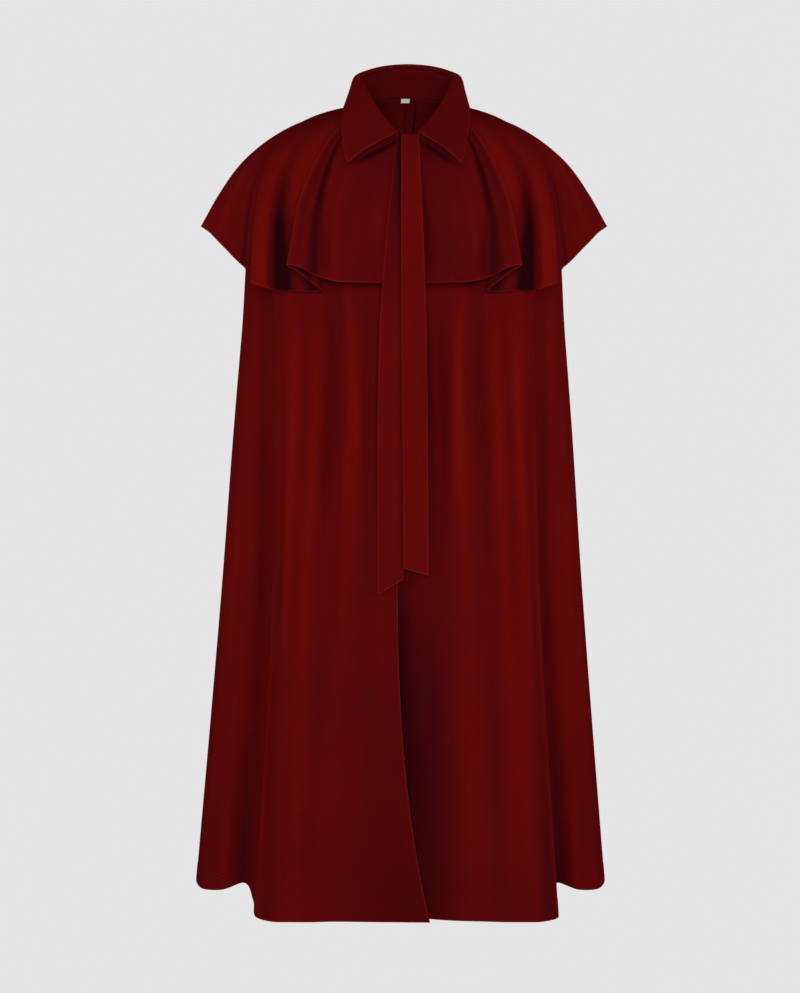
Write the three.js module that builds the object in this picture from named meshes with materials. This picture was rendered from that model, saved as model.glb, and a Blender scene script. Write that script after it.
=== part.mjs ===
// A long tie-neck cape with a shoulder capelet, standing as if worn: hollow, open at the neck and the hem,
// and open down the front. Millimetres, +Z up, the garment faces -Y. The origin is the middle of the neck
// seam's side points, where the wearer's neck and shoulders hold it. Right and left are the wearer's.
import * as THREE from "three";

// Driving dimensions
const CLOTH = 2; // wall of the body and the capelet
const COLLAR_CLOTH = 2.4; // two layers and a stiffener
const TIE_CLOTH = 2.2; // a folded band
const LABEL_CLOTH = 1;
const SEAM_GAP = 0.3; // between two pieces at a seam
// From the body's cloth to the capelet's, past this share of the way down.
const CAPELET_CLEAR = { far: 5.5, from: 0.2 };
const RIGHT = -1; // the wearer's right is at -X
const LEFT = 1;

// Rings of the body's cloth over a general figure. drop is the way down from the neck seam, in millimetres
// of cloth. full is how square the ring is: 2 is an ellipse.
const RINGS = [
  { name: "neck seam", drop: 0, centreX: 5, sideX: 68, sideY: 8, sideZ: 4, frontY: -74, frontZ: -56, backY: 62, backZ: 27, full: 2 },
  { name: "yoke", drop: 50, centreX: 1, sideX: 116, sideY: 9, sideZ: -13, frontY: -96, frontZ: -96, backY: 92, backZ: -12, full: 2.1 },
  { name: "shoulder", drop: 100, centreX: 0, sideX: 161, sideY: 11, sideZ: -32, frontY: -111, frontZ: -143, backY: 105, backZ: -60, full: 2.2 },
  { name: "arm point", drop: 150, centreX: 0, sideX: 195, sideY: 13, sideZ: -66, frontY: -120, frontZ: -192, backY: 110, backZ: -110, full: 2.3 },
  { name: "upper arm", drop: 200, centreX: 0, sideX: 211, sideY: 14, sideZ: -118, frontY: -125, frontZ: -242, backY: 113, backZ: -165, full: 2.3 },
  { name: "chest", drop: 330, centreX: 0, sideX: 226, sideY: 18, sideZ: -322, frontY: -131, frontZ: -322, backY: 118, backZ: -322, full: 2.3 },
];
const RING_HEIGHT_POWER = 1.6; // how a ring's height runs from its side to its front and back
const LOW_DROP = 700;
const LOW_Z = -690;
const HEM_DROP = 1130;

// Fold lines of the body, from the centre front round to the centre back, on one half of the garment.
// angle places the line on the rings above the chest; X is taken outwards from the middle.
const BODY_FOLDS = [
  { name: "front edge", angle: 0.6, chestX: 4, chestY: -132, lowX: 4, lowY: -161, hemX: 2, hemY: -192, hemZ: -1097 },
  { name: "front flat", angle: 9, chestX: 42, chestY: -133, lowX: 50, lowY: -162, hemX: 60, hemY: -192, hemZ: -1097 },
  { name: "small crest", angle: 17.5, chestX: 74, chestY: -138, lowX: 84, lowY: -164, hemX: 98, hemY: -191, hemZ: -1097 },
  { name: "front valley", angle: 22.6, chestX: 92, chestY: -122, lowX: 108, lowY: -157, hemX: 126, hemY: -190, hemZ: -1098 },
  { name: "broad crest", angle: 30.2, chestX: 116, chestY: -125, lowX: 132, lowY: -160, hemX: 152, hemY: -190, hemZ: -1098 },
  { name: "broad crest end", angle: 43.3, chestX: 152, chestY: -117, lowX: 161, lowY: -150, hemX: 176, hemY: -183, hemZ: -1099 },
  { name: "corner", angle: 49.5, chestX: 171, chestY: -94, lowX: 177, lowY: -124, hemX: 199, hemY: -152, hemZ: -1100 },
  { name: "corner return", angle: 53.4, chestX: 181, chestY: -69, lowX: 184, lowY: -80, hemX: 201, hemY: -84, hemZ: -1092 },
  { name: "side valley", angle: 58.3, chestX: 192, chestY: -46, lowX: 197, lowY: -36, hemX: 219, hemY: -18, hemZ: -1081 },
  { name: "lobe front", angle: 68.2, chestX: 210, chestY: -28, lowX: 225, lowY: -28, hemX: 247, hemY: -26, hemZ: -1089 },
  { name: "lobe crest", angle: 80, chestX: 223, chestY: -4, lowX: 244, lowY: -14, hemX: 272, hemY: -14, hemZ: -1091 },
  { name: "side seam", angle: 97, chestX: 228, chestY: 26, lowX: 256, lowY: 26, hemX: 289, hemY: 30, hemZ: -1085 },
  { name: "back lobe", angle: 109, chestX: 215, chestY: 62, lowX: 244, lowY: 76, hemX: 276, hemY: 92, hemZ: -1086 },
  { name: "back side valley", angle: 126, chestX: 187, chestY: 82, lowX: 206, lowY: 94, hemX: 226, hemY: 108, hemZ: -1090 },
  { name: "back side crest", angle: 139, chestX: 155, chestY: 103, lowX: 176, lowY: 134, hemX: 198, hemY: 164, hemZ: -1096 },
  { name: "back valley", angle: 152.5, chestX: 113, chestY: 104, lowX: 125, lowY: 128, hemX: 138, hemY: 148, hemZ: -1097 },
  { name: "back crest", angle: 163, chestX: 76, chestY: 117, lowX: 86, lowY: 152, hemX: 95, hemY: 186, hemZ: -1099 },
  { name: "centre valley", angle: 172.5, chestX: 36, chestY: 114, lowX: 40, lowY: 143, hemX: 44, hemY: 170, hemZ: -1099 },
  { name: "centre back", angle: 180, chestX: 0, chestY: 117, lowX: 0, lowY: 150, hemX: 0, hemY: 180, hemZ: -1099 },
];
const SIDE_SEAM = 11; // the fold line that the side seams follow
const HEM_LEAN = { front: 4, rest: -5, from: -150, to: -60 }; // sideways at the hem, by how far forward a line lies
// Below this drop the right front crosses over and the left front turns in behind it. late is how late on the
// way down each does so, and spread how close it stays to the front edge.
const LAP_DROP = 600;
const FRONT_LAP = { crossing: 32, forward: 5, late: 3.6, spread: 1.6 };
const FRONT_TUCK = { inward: 30, late: 1.3, spread: 2.6 };
// The opening swings to one side round this drop, and below the ties the left front reaches behind the right.
const FRONT_SWAY = { by: -7, drop: 720, length: 260, spread: 1.6 };
const FRONT_UNDER = { across: -13, behind: 9, from: 560, soft: 40, spread: 10 };
const FRONT_REACH = 3; // the fold line at which the lap and the tuck end
const LEAN_SHARES = { chest: 0.2, low: 0.6, hem: 1 };

// Fold lines of the capelet. The first angle is where the line leaves the neck seam, the second where it
// meets the hem, and drop the way down to that place on the figure. The hem columns are the cloth's edge.
const CAPELET_FOLDS = [
  { name: "front edge", neck: 1.5, hem: 0.7, drop: 222, hemX: 4, hemY: -149, hemZ: -262, late: 1.2 },
  { name: "flat", neck: 17, hem: 14, drop: 222, hemX: 50, hemY: -150, hemZ: -261, late: 1.2 },
  { name: "flat end", neck: 42, hem: 27, drop: 222, hemX: 97, hemY: -148, hemZ: -258, late: 1.4 },
  { name: "groove", neck: 56, hem: 33, drop: 222, hemX: 116, hemY: -136, hemZ: -251, late: 1.6 },
  { name: "flute face", neck: 61, hem: 36, drop: 218, hemX: 140, hemY: -160, hemZ: -241, late: 2 },
  { name: "flute edge", neck: 65, hem: 40, drop: 216, hemX: 156, hemY: -156, hemZ: -238, late: 2 },
  { name: "return", neck: 69, hem: 42, drop: 220, hemX: 143, hemY: -145, hemZ: -246, late: 1.9 },
  { name: "return end", neck: 72, hem: 44, drop: 226, hemX: 122, hemY: -134, hemZ: -261, late: 1.8 },
  { name: "inner edge", neck: 74, hem: 45, drop: 232, hemX: 111, hemY: -129, hemZ: -270, late: 1.8 },
  { name: "under layer", neck: 76, hem: 46.5, drop: 234, hemX: 123, hemY: -124, hemZ: -271, late: 1.8 },
  { name: "under layer end", neck: 78, hem: 49, drop: 240, hemX: 142, hemY: -118, hemZ: -269, late: 1.6 },
  { name: "trough", neck: 81, hem: 55, drop: 246, hemX: 164, hemY: -103, hemZ: -268, late: 1.6 },
  { name: "side layer", neck: 84, hem: 63, drop: 256, hemX: 187, hemY: -119, hemZ: -264, late: 1.6 },
  { name: "side edge", neck: 87, hem: 71, drop: 258, hemX: 208, hemY: -100, hemZ: -254, late: 2.4 },
  { name: "side return", neck: 88.5, hem: 72, drop: 254, hemX: 204, hemY: -84, hemZ: -245, late: 3.2 },
  { name: "side inner edge", neck: 90, hem: 73.5, drop: 250, hemX: 202, hemY: -70, hemZ: -239, late: 3.4 },
  { name: "wing root", neck: 91.5, hem: 77, drop: 242, hemX: 219, hemY: -52, hemZ: -229, late: 2.8 },
  { name: "wing", neck: 93, hem: 83, drop: 224, hemX: 253, hemY: -18, hemZ: -195, late: 2 },
  { name: "wing front edge", neck: 94.4, hem: 89, drop: 208, hemX: 281, hemY: 5, hemZ: -167, late: 2 },
  { name: "wing tip", neck: 95, hem: 90, drop: 206, hemX: 286, hemY: 11, hemZ: -164, late: 2 },
  { name: "wing back edge", neck: 95.6, hem: 91, drop: 208, hemX: 281, hemY: 17, hemZ: -167, late: 2 },
  { name: "back wing", neck: 99, hem: 98, drop: 226, hemX: 251, hemY: 44, hemZ: -191, late: 2 },
  { name: "back wing root", neck: 106, hem: 106, drop: 250, hemX: 218, hemY: 78, hemZ: -228, late: 2 },
  { name: "back side valley", neck: 116, hem: 117, drop: 264, hemX: 194, hemY: 97, hemZ: -252, late: 1.6 },
  { name: "back side flute", neck: 128, hem: 129, drop: 270, hemX: 168, hemY: 131, hemZ: -261, late: 1.6 },
  { name: "back valley", neck: 142, hem: 143, drop: 274, hemX: 128, hemY: 121, hemZ: -269, late: 1.6 },
  { name: "back flute", neck: 156, hem: 155, drop: 278, hemX: 92, hemY: 149, hemZ: -271, late: 1.6 },
  { name: "centre valley", neck: 168, hem: 168, drop: 280, hemX: 46, hemY: 134, hemZ: -274, late: 1.6 },
  { name: "centre back", neck: 180, hem: 180, drop: 282, hemX: 0, hemY: 141, hemZ: -275, late: 1.6 },
];
const SHOULDER_SEAM = 19; // the fold line that the capelet's shoulder seams follow
const CAPELET_ROWS = [0, 0.14, 0.28, 0.42, 0.56, 0.7, 0.85, 1];
const NECK_PULL = 2.4; // how soon the capelet's lines swing from their neck angle to their hem angle

// Collar: it rolls over on itself, by the angle round the neck. stand is its height above the neck seam, lean
// its way outwards at the top and roll the radius there. The leaf's edge lies on the figure at leafAngle and
// leafDrop, lift off it, and bulge rounds the leaf's middle.
const COLLAR = [
  { name: "front end", angle: 13, stand: 1.5, lean: 0, roll: 3.4, leafAngle: 29, leafDrop: 80, lift: 19, bulge: 5 },
  { name: "front", angle: 32, stand: 14, lean: -1, roll: 4.4, leafAngle: 43, leafDrop: 52, lift: 14, bulge: 5 },
  { name: "side front", angle: 60, stand: 27, lean: -2, roll: 4.6, leafAngle: 64, leafDrop: 27, lift: 9, bulge: 3 },
  { name: "side", angle: 90, stand: 37, lean: -1, roll: 4.6, leafAngle: 90, leafDrop: 13, lift: 7, bulge: 1 },
  { name: "side back", angle: 130, stand: 41, lean: 1, roll: 4.6, leafAngle: 130, leafDrop: 11, lift: 7, bulge: 1 },
  { name: "back", angle: 180, stand: 42, lean: 4, roll: 4.6, leafAngle: 180, leafDrop: 10, lift: 7, bulge: 1 },
];
// Degrees round the roll at which the leaf's cloth is placed, and where its middle lies between roll and edge.
const ROLL_STOPS = { start: 0, rise: 50, over: 100, end: 150 };
const LEAF_MIDDLE = 0.55;
const LEAF_KNOTS = [0, 0.1, 0.2, 0.3, 0.62, 1];

// Ties: two bands from the neck seam at the centre front. x places the band's middle line.
const TIE_TOP = { width: 24, z: -55 };
const TIE_KNOTS = [0, 0.36, 1]; // the neck seam, the capelet's hem and the end, as shares of the way down
const LEFT_TIE = { name: "tie_left", topX: 8, chestX: 12, endX: 16, endWidth: 33, endZ: -644, slant: 5, lift: 5.1 };
const RIGHT_TIE = { name: "tie_right", topX: 2, chestX: -13, endX: -18.5, endWidth: 35, endZ: -664, slant: -10, lift: 2.55 };
// The face of what the ties lie on, down the centre front.
const TIE_LINE = [
  { name: "neck seam", z: -55, y: -76.4 },
  { name: "under the neck", z: -78, y: -95.4 },
  { name: "yoke", z: -105, y: -111.1 },
  { name: "shoulder", z: -142, y: -124.4 },
  { name: "chest", z: -198, y: -138.6 },
  { name: "capelet hem", z: -262, y: -150.2 },
  { name: "skirt", z: -450, y: -153 },
  { name: "tie ends", z: -700, y: -163 },
];

const LABEL = { x: -2.5, width: 12, top: 0, height: 7.5, clear: 0.9 }; // top and height run down the back's cloth

const rad = THREE.MathUtils.degToRad;

// The value at t of a smooth curve through values placed at knots.
function curveAt(knots, values, t) {
  const last = knots.length - 1;
  let i = 0;
  while (i < last - 1 && t > knots[i + 1]) i++;
  const slope = (k) => (values[k + 1] - values[k]) / (knots[k + 1] - knots[k]);
  const tangent = (k) => {
    if (k === 0) return slope(0);
    if (k === last) return slope(last - 1);
    const before = knots[k] - knots[k - 1];
    const after = knots[k + 1] - knots[k];
    return (slope(k - 1) * after + slope(k) * before) / (before + after);
  };
  const span = knots[i + 1] - knots[i];
  const s = (t - knots[i]) / span;
  const s2 = s * s;
  const s3 = s2 * s;
  return (
    (2 * s3 - 3 * s2 + 1) * values[i] +
    (s3 - 2 * s2 + s) * span * tangent(i) +
    (3 * s2 - 2 * s3) * values[i + 1] +
    (s3 - s2) * span * tangent(i + 1)
  );
}

function pointAt(knots, points, t) {
  return new THREE.Vector3(
    curveAt(knots, points.map((p) => p.x), t),
    curveAt(knots, points.map((p) => p.y), t),
    curveAt(knots, points.map((p) => p.z), t),
  );
}

// Distances along a row of points, as knots.
function chords(points) {
  const knots = [0];
  for (let i = 1; i < points.length; i++) knots.push(knots[i - 1] + points[i].distanceTo(points[i - 1]));
  return knots;
}

// A point of the body's cloth above the chest, at an angle from the front and a drop from the neck seam.
function formPoint(side, angle, drop) {
  const drops = RINGS.map((r) => r.drop);
  const at = (column) => curveAt(drops, RINGS.map((r) => r[column]), drop);
  const power = 2 / at("full");
  const across = Math.sign(Math.sin(rad(angle))) * Math.abs(Math.sin(rad(angle))) ** power;
  const along = Math.abs(Math.cos(rad(angle))) ** power;
  const rise = Math.abs(Math.cos(rad(angle))) ** RING_HEIGHT_POWER;
  const end = angle < 90 ? "front" : "back";
  return new THREE.Vector3(
    at("centreX") + side * at("sideX") * across,
    THREE.MathUtils.lerp(at("sideY"), at(end + "Y"), along),
    THREE.MathUtils.lerp(at("sideZ"), at(end + "Z"), rise),
  );
}

// The outward normal of a surface given as a function of two numbers, by small steps.
function normalOf(surface, side, u, v, step, range) {
  const u0 = Math.max(u - step, range.u0);
  const u1 = Math.min(u + step, range.u1);
  const v0 = Math.max(v - step, range.v0);
  const v1 = Math.min(v + step, range.v1);
  const along = surface(u1, v).sub(surface(u0, v));
  const down = surface(u, v1).sub(surface(u, v0));
  return along.cross(down).normalize().multiplyScalar(-side);
}

function formNormal(side, angle, drop) {
  const surface = (a, d) => formPoint(side, a, d);
  const a = THREE.MathUtils.clamp(angle, 4, 176);
  return normalOf(surface, side, a, Math.max(drop, 2), 2, { u0: 1, u1: 179, v0: 0, v1: 330 });
}

// Half of the body, as a function of the distance along its fold lines and the drop from the neck seam.
function bodyHalf(side) {
  const lean = (fold, share) => {
    const back = THREE.MathUtils.smoothstep(fold.hemY, HEM_LEAN.from, HEM_LEAN.to);
    return share * THREE.MathUtils.lerp(HEM_LEAN.front, HEM_LEAN.rest, back);
  };
  const rows = RINGS.slice(0, -1).map((ring) => BODY_FOLDS.map((f) => formPoint(side, f.angle, ring.drop)));
  const chest = RINGS[RINGS.length - 1];
  rows.push(BODY_FOLDS.map((f) => new THREE.Vector3(side * f.chestX + lean(f, LEAN_SHARES.chest), f.chestY, chest.sideZ)));
  rows.push(BODY_FOLDS.map((f) => new THREE.Vector3(side * f.lowX + lean(f, LEAN_SHARES.low), f.lowY, LOW_Z)));
  rows.push(BODY_FOLDS.map((f) => new THREE.Vector3(side * f.hemX + lean(f, LEAN_SHARES.hem), f.hemY, f.hemZ)));
  const rowKnots = [...RINGS.map((r) => r.drop), LOW_DROP, HEM_DROP];
  const knots = chords(rows[rows.length - 2]);
  const half = closedHalf(rows, knots, rowKnots, SIDE_SEAM);
  const frontReach = knots[FRONT_REACH];
  return {
    ...half,
    at: (t, drop) => {
      const p = half.at(t, drop);
      const near = Math.max(0, 1 - t / frontReach);
      const low = Math.max(0, (drop - LAP_DROP) / (HEM_DROP - LAP_DROP));
      const sway = Math.exp(-(((drop - FRONT_SWAY.drop) / FRONT_SWAY.length) ** 2));
      p.x += FRONT_SWAY.by * sway * near ** FRONT_SWAY.spread;
      if (side === RIGHT) {
        const share = low ** FRONT_LAP.late * near ** FRONT_LAP.spread;
        p.x += FRONT_LAP.crossing * share;
        p.y -= FRONT_LAP.forward * share;
      } else {
        p.y += FRONT_TUCK.inward * low ** FRONT_TUCK.late * near ** FRONT_TUCK.spread;
        const under = ((1 + Math.tanh((drop - FRONT_UNDER.from) / FRONT_UNDER.soft)) / 2) * near ** FRONT_UNDER.spread;
        p.x += FRONT_UNDER.across * under;
        p.y += FRONT_UNDER.behind * under;
      }
      return p;
    },
  };
}

// Half of the capelet, as a function of the distance along its hem and the share of the way down to it.
function capeletHalf(side) {
  const line = (fold, share) => {
    const angle = fold.hem + (fold.neck - fold.hem) * (1 - share) ** NECK_PULL;
    const clear = CLOTH + THREE.MathUtils.lerp(SEAM_GAP, CAPELET_CLEAR.far, Math.min(1, share / CAPELET_CLEAR.from));
    const place = (a, d) => formPoint(side, a, d).addScaledVector(formNormal(side, a, d), clear);
    const hem = new THREE.Vector3(side * fold.hemX, fold.hemY, fold.hemZ);
    const drift = hem.sub(place(fold.hem, fold.drop));
    return place(angle, fold.drop * share).addScaledVector(drift, share ** fold.late);
  };
  const rows = CAPELET_ROWS.map((share) => CAPELET_FOLDS.map((fold) => line(fold, share)));
  const knots = chords(rows[rows.length - 1]);
  return closedHalf(rows, knots, CAPELET_ROWS, SHOULDER_SEAM);
}

// A half garment from rows of points, with a mirrored line past the centre back, so that it is smooth there.
function closedHalf(rows, knots, rowKnots, seamLine) {
  const end = knots[knots.length - 1];
  const whole = rows.map((row) => {
    const [next, middle] = row.slice(-2);
    return [...row, new THREE.Vector3(2 * middle.x - next.x, next.y, next.z)];
  });
  const wholeKnots = [...knots, 2 * end - knots[knots.length - 2]];
  return {
    seam: knots[seamLine],
    end,
    at: (t, v) => pointAt(rowKnots, whole.map((row) => pointAt(wholeKnots, row, t)), v),
  };
}

// A closed wall from a grid of points on its face and of the same points moved through the cloth.
function wallGeometry(face, back) {
  const rows = face.length;
  const columns = face[0].length;
  const positions = [];
  [face, back].forEach((grid) => grid.forEach((row) => row.forEach((p) => positions.push(p.x, p.y, p.z))));
  const index = [];
  const id = (layer, i, j) => layer * rows * columns + i * columns + j;
  const quad = (a, b, c, d) => index.push(a, b, c, a, c, d);
  for (let i = 0; i < rows - 1; i++)
    for (let j = 0; j < columns - 1; j++) {
      quad(id(0, i, j), id(0, i + 1, j), id(0, i + 1, j + 1), id(0, i, j + 1));
      quad(id(1, i, j), id(1, i, j + 1), id(1, i + 1, j + 1), id(1, i + 1, j));
    }
  for (let i = 0; i < rows - 1; i++) {
    quad(id(0, i, 0), id(1, i, 0), id(1, i + 1, 0), id(0, i + 1, 0));
    const j = columns - 1;
    quad(id(0, i, j), id(0, i + 1, j), id(1, i + 1, j), id(1, i, j));
  }
  for (let j = 0; j < columns - 1; j++) {
    quad(id(0, 0, j), id(0, 0, j + 1), id(1, 0, j + 1), id(1, 0, j));
    const i = rows - 1;
    quad(id(0, i, j), id(1, i, j), id(1, i, j + 1), id(0, i, j + 1));
  }
  if (signedVolume(positions, index) < 0)
    for (let k = 0; k < index.length; k += 3) [index[k + 1], index[k + 2]] = [index[k + 2], index[k + 1]];
  const geometry = new THREE.BufferGeometry();
  geometry.setAttribute("position", new THREE.Float32BufferAttribute(positions, 3));
  geometry.setIndex(index);
  geometry.computeVertexNormals();
  return geometry;
}

function signedVolume(positions, index) {
  const corner = (k) => new THREE.Vector3().fromArray(positions, 3 * index[k]);
  let six = 0;
  for (let k = 0; k < index.length; k += 3) six += corner(k).dot(corner(k + 1).cross(corner(k + 2)));
  return six / 6;
}

// A wall on a surface of (t, v), sampled at the given places. Its thickness goes inwards from the face, and
// its first and last columns stop half a seam's gap short.
function clothPanel(surface, side, ts, vs, thickness, stepT, stepV) {
  const top = Math.min(vs[0], vs[vs.length - 1]);
  const bottom = Math.max(vs[0], vs[vs.length - 1]);
  const face = [];
  const back = [];
  vs.forEach((v) => {
    const faceRow = [];
    const backRow = [];
    ts.forEach((place, j) => {
      const along = surface(place + stepT, v).sub(surface(place - stepT, v));
      const inset = (SEAM_GAP * stepT) / along.length();
      const t = place + (j === 0 ? inset : 0) - (j === ts.length - 1 ? inset : 0);
      const down = surface(t, Math.min(v + stepV, bottom)).sub(surface(t, Math.max(v - stepV, top)));
      const normal = along.cross(down).normalize().multiplyScalar(-side);
      const p = surface(t, v);
      faceRow.push(p);
      backRow.push(p.clone().addScaledVector(normal, -thickness));
    });
    face.push(faceRow);
    back.push(backRow);
  });
  return wallGeometry(face, back);
}

// Numbers from a to b: each stretch between two marks is cut into its own count of steps.
function steps(marks, counts) {
  const out = [marks[0]];
  counts.forEach((count, k) => {
    for (let i = 1; i <= count; i++) out.push(THREE.MathUtils.lerp(marks[k], marks[k + 1], i / count));
  });
  return out;
}

const cape = new THREE.Group();
const WOOL = { color: 0x5c0a0c, roughness: 0.6, metalness: 0 };
const LABEL_TAPE = { color: 0xd9d4cc, roughness: 0.7, metalness: 0 };

function addPiece(name, geometry, finish = WOOL) {
  const mesh = new THREE.Mesh(geometry, new THREE.MeshStandardMaterial(finish));
  mesh.name = name;
  cape.add(mesh);
}

// Body: two fronts that open down the middle and two backs with a centre seam.
const bodyRows = steps([0, 200, 330, LOW_DROP, HEM_DROP], [6, 2, 3, 4]);
function bodyPanels() {
  [RIGHT, LEFT].forEach((side) => {
    const half = bodyHalf(side);
    const word = side === RIGHT ? "right" : "left";
    const front = steps([0, half.seam], [22]);
    const back = steps([half.seam, half.end], [15]);
    addPiece("body_front_" + word, clothPanel(half.at, side, front, bodyRows, CLOTH, 1, 2));
    addPiece("body_back_" + word, clothPanel(half.at, side, back, bodyRows, CLOTH, 1, 2));
  });
}

// Capelet: a front for each side with its flute, and a back in two halves. The shoulder seam runs out to
// the wing's tip.
function capeletPanels() {
  const shares = steps([0, 0.28, 0.7, 1], [4, 5, 3]);
  [RIGHT, LEFT].forEach((side) => {
    const word = side === RIGHT ? "right" : "left";
    const half = capeletHalf(side);
    const front = steps([0, half.seam], [35]);
    const back = steps([half.seam, half.end], [16]);
    addPiece("capelet_front_" + word, clothPanel(half.at, side, front, shares, CLOTH, 1, 0.01));
    addPiece("capelet_back_" + word, clothPanel(half.at, side, back, shares, CLOTH, 1, 0.01));
  });
}

// The collar's sizes at an angle round the neck.
function collarAt(angle) {
  const knots = COLLAR.map((row) => row.angle);
  const at = (column) => curveAt(knots, COLLAR.map((row) => row[column]), angle);
  return Object.fromEntries(Object.keys(COLLAR[0]).filter((key) => key !== "name").map((key) => [key, at(key)]));
}

// Level direction away from the neck at an angle on its seam.
function neckOutward(side, angle) {
  const ahead = formPoint(side, Math.min(angle + 2, 180), 0);
  const behind = formPoint(side, Math.max(angle - 2, 0), 0);
  const along = ahead.sub(behind);
  return new THREE.Vector3(-side * along.y, side * along.x, 0).negate().normalize();
}

// turn runs round the neck from the wearer's right front through the back to the left front, in degrees.
const turnSide = (turn) => (turn < 0 ? RIGHT : LEFT);
const turnAngle = (turn) => 180 - Math.abs(turn);
const COLLAR_TURN = 180 - COLLAR[0].angle;

function standSurface(turn, rise) {
  const side = turnSide(turn);
  const angle = turnAngle(turn);
  const size = collarAt(angle);
  const foot = formPoint(side, angle, 0);
  const outward = neckOutward(side, angle);
  return foot
    .addScaledVector(outward, size.lean * rise)
    .add(new THREE.Vector3(0, 0, SEAM_GAP * 2 + (size.stand - SEAM_GAP * 2) * rise));
}

// The leaf from its roll, at 0, to its edge, at 1.
function leafSurface(turn, reach) {
  const side = turnSide(turn);
  const angle = turnAngle(turn);
  const size = collarAt(angle);
  const outward = neckOutward(side, angle);
  const up = new THREE.Vector3(0, 0, 1);
  const top = standSurface(turn, 1).addScaledVector(up, SEAM_GAP * 2);
  const onRoll = (degrees) =>
    top
      .clone()
      .addScaledVector(outward, -COLLAR_CLOTH + size.roll * (1 - Math.cos(rad(degrees))))
      .addScaledVector(up, size.roll * Math.sin(rad(degrees)));
  const edge = formPoint(side, size.leafAngle, size.leafDrop).addScaledVector(
    formNormal(side, size.leafAngle, size.leafDrop),
    size.lift,
  );
  const rollEnd = onRoll(ROLL_STOPS.end);
  const midAngle = (angle + size.leafAngle) / 2;
  const middle = rollEnd.clone().lerp(edge, LEAF_MIDDLE);
  middle.addScaledVector(formNormal(side, midAngle, Math.max(size.leafDrop / 2, 10)), size.bulge);
  const roll = [onRoll(ROLL_STOPS.start), onRoll(ROLL_STOPS.rise), onRoll(ROLL_STOPS.over), rollEnd];
  return pointAt(LEAF_KNOTS, [...roll, middle, edge], reach);
}

function collar() {
  const turns = steps([-COLLAR_TURN, -100, 100, COLLAR_TURN], [9, 16, 9]);
  addPiece("collar_stand", clothPanel(standSurface, LEFT, turns, [1, 0.5, 0], COLLAR_CLOTH, 0.5, 0.01));
  const reaches = [0, 0.1, 0.2, 0.3, 0.46, 0.62, 0.8, 1];
  addPiece("collar_leaf", clothPanel(leafSurface, LEFT, turns, reaches, COLLAR_CLOTH, 0.5, 0.01));
}

// A tie: across runs from -1 to 1 over its width, down from 0 at the neck seam to 1 at its end.
function tieSurface(tie) {
  return (across, down) => {
    const width = curveAt(TIE_KNOTS, [TIE_TOP.width, tie.endWidth - 1, tie.endWidth], down);
    const x = curveAt(TIE_KNOTS, [tie.topX, tie.chestX, tie.endX], down) + (across * width) / 2;
    const endZ = tie.endZ - tie.slant * across;
    const z = THREE.MathUtils.lerp(TIE_TOP.z, endZ, down);
    const forward = (drop) => curveAt(TIE_LINE.map((row) => -row.z), TIE_LINE.map((row) => row.y), drop);
    const slope = forward(-z + 1) - forward(-z);
    return new THREE.Vector3(x, forward(-z), z).addScaledVector(new THREE.Vector3(0, -1, -slope).normalize(), tie.lift);
  };
}

function ties() {
  const across = [-1, -0.5, 0, 0.5, 1];
  const down = steps(TIE_KNOTS, [9, 9]);
  [LEFT_TIE, RIGHT_TIE].forEach((tie) => {
    addPiece(tie.name, clothPanel(tieSurface(tie), LEFT, across, down, TIE_CLOTH, 0.05, 0.01));
  });
}

// Size label, hung from the neck seam on the inside of the back.
function neckLabel() {
  const half = bodyHalf(LEFT);
  const inner = (x, drop) => {
    const p = half.at(half.end, drop);
    const normal = formNormal(LEFT, 180, drop);
    return p.addScaledVector(normal, -CLOTH - LABEL.clear).add(new THREE.Vector3(x, 0, 0));
  };
  const places = [LABEL.x - LABEL.width / 2, LABEL.x + LABEL.width / 2];
  const drops = [LABEL.top, LABEL.top + LABEL.height];
  addPiece("neck_label", clothPanel(inner, RIGHT, places, drops, LABEL_CLOTH, 1, 1), LABEL_TAPE);
}

bodyPanels();
capeletPanels();
collar();
ties();
neckLabel();

export default cape;
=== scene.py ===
# %% [markdown]
# # A dark red tie-neck cape
#
# The real thing is a long cape of fine wool crepe. It has a shirt collar, a shoulder capelet that falls in
# flutes, and two long ties at the neck. It stands filled out as if it were worn, with nothing inside.
#
# Cloth is a thin curved sheet, so each piece here starts as a flat grid. Its points are then laid on a
# smooth surface that runs through the garment's fold lines, and the sheet is given its thickness last. The
# same fold lines make the rigid model that this scene loads, so the soft pieces lie exactly where the rigid
# ones are.

# %% Load the rigid model
import math

import bmesh
import bpy
import mathutils
import numpy as np
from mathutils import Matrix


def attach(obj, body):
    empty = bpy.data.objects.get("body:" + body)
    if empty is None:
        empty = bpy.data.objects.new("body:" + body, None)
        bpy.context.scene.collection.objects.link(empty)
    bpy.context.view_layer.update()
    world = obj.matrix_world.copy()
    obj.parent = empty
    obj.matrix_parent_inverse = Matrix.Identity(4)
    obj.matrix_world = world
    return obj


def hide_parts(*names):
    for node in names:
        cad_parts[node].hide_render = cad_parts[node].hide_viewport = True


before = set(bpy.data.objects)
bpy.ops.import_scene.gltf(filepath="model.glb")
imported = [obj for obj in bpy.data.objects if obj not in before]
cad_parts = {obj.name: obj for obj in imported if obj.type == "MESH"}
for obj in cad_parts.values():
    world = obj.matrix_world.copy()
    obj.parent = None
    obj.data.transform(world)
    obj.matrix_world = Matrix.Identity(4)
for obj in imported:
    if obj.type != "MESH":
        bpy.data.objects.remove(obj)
scene = bpy.context.scene
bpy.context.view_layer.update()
MM = 0.001
print("nodes:", sorted(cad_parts))

# %% [markdown]
# ## Camera, room and light
#
# The photograph was taken level with the middle of the cape and straight from the front, from a few metres
# away. A long lens on a level camera gives that view. Both are set from real sizes: how far away the camera
# stands, and how many millimetres of cape one pixel of the picture covers.

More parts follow.
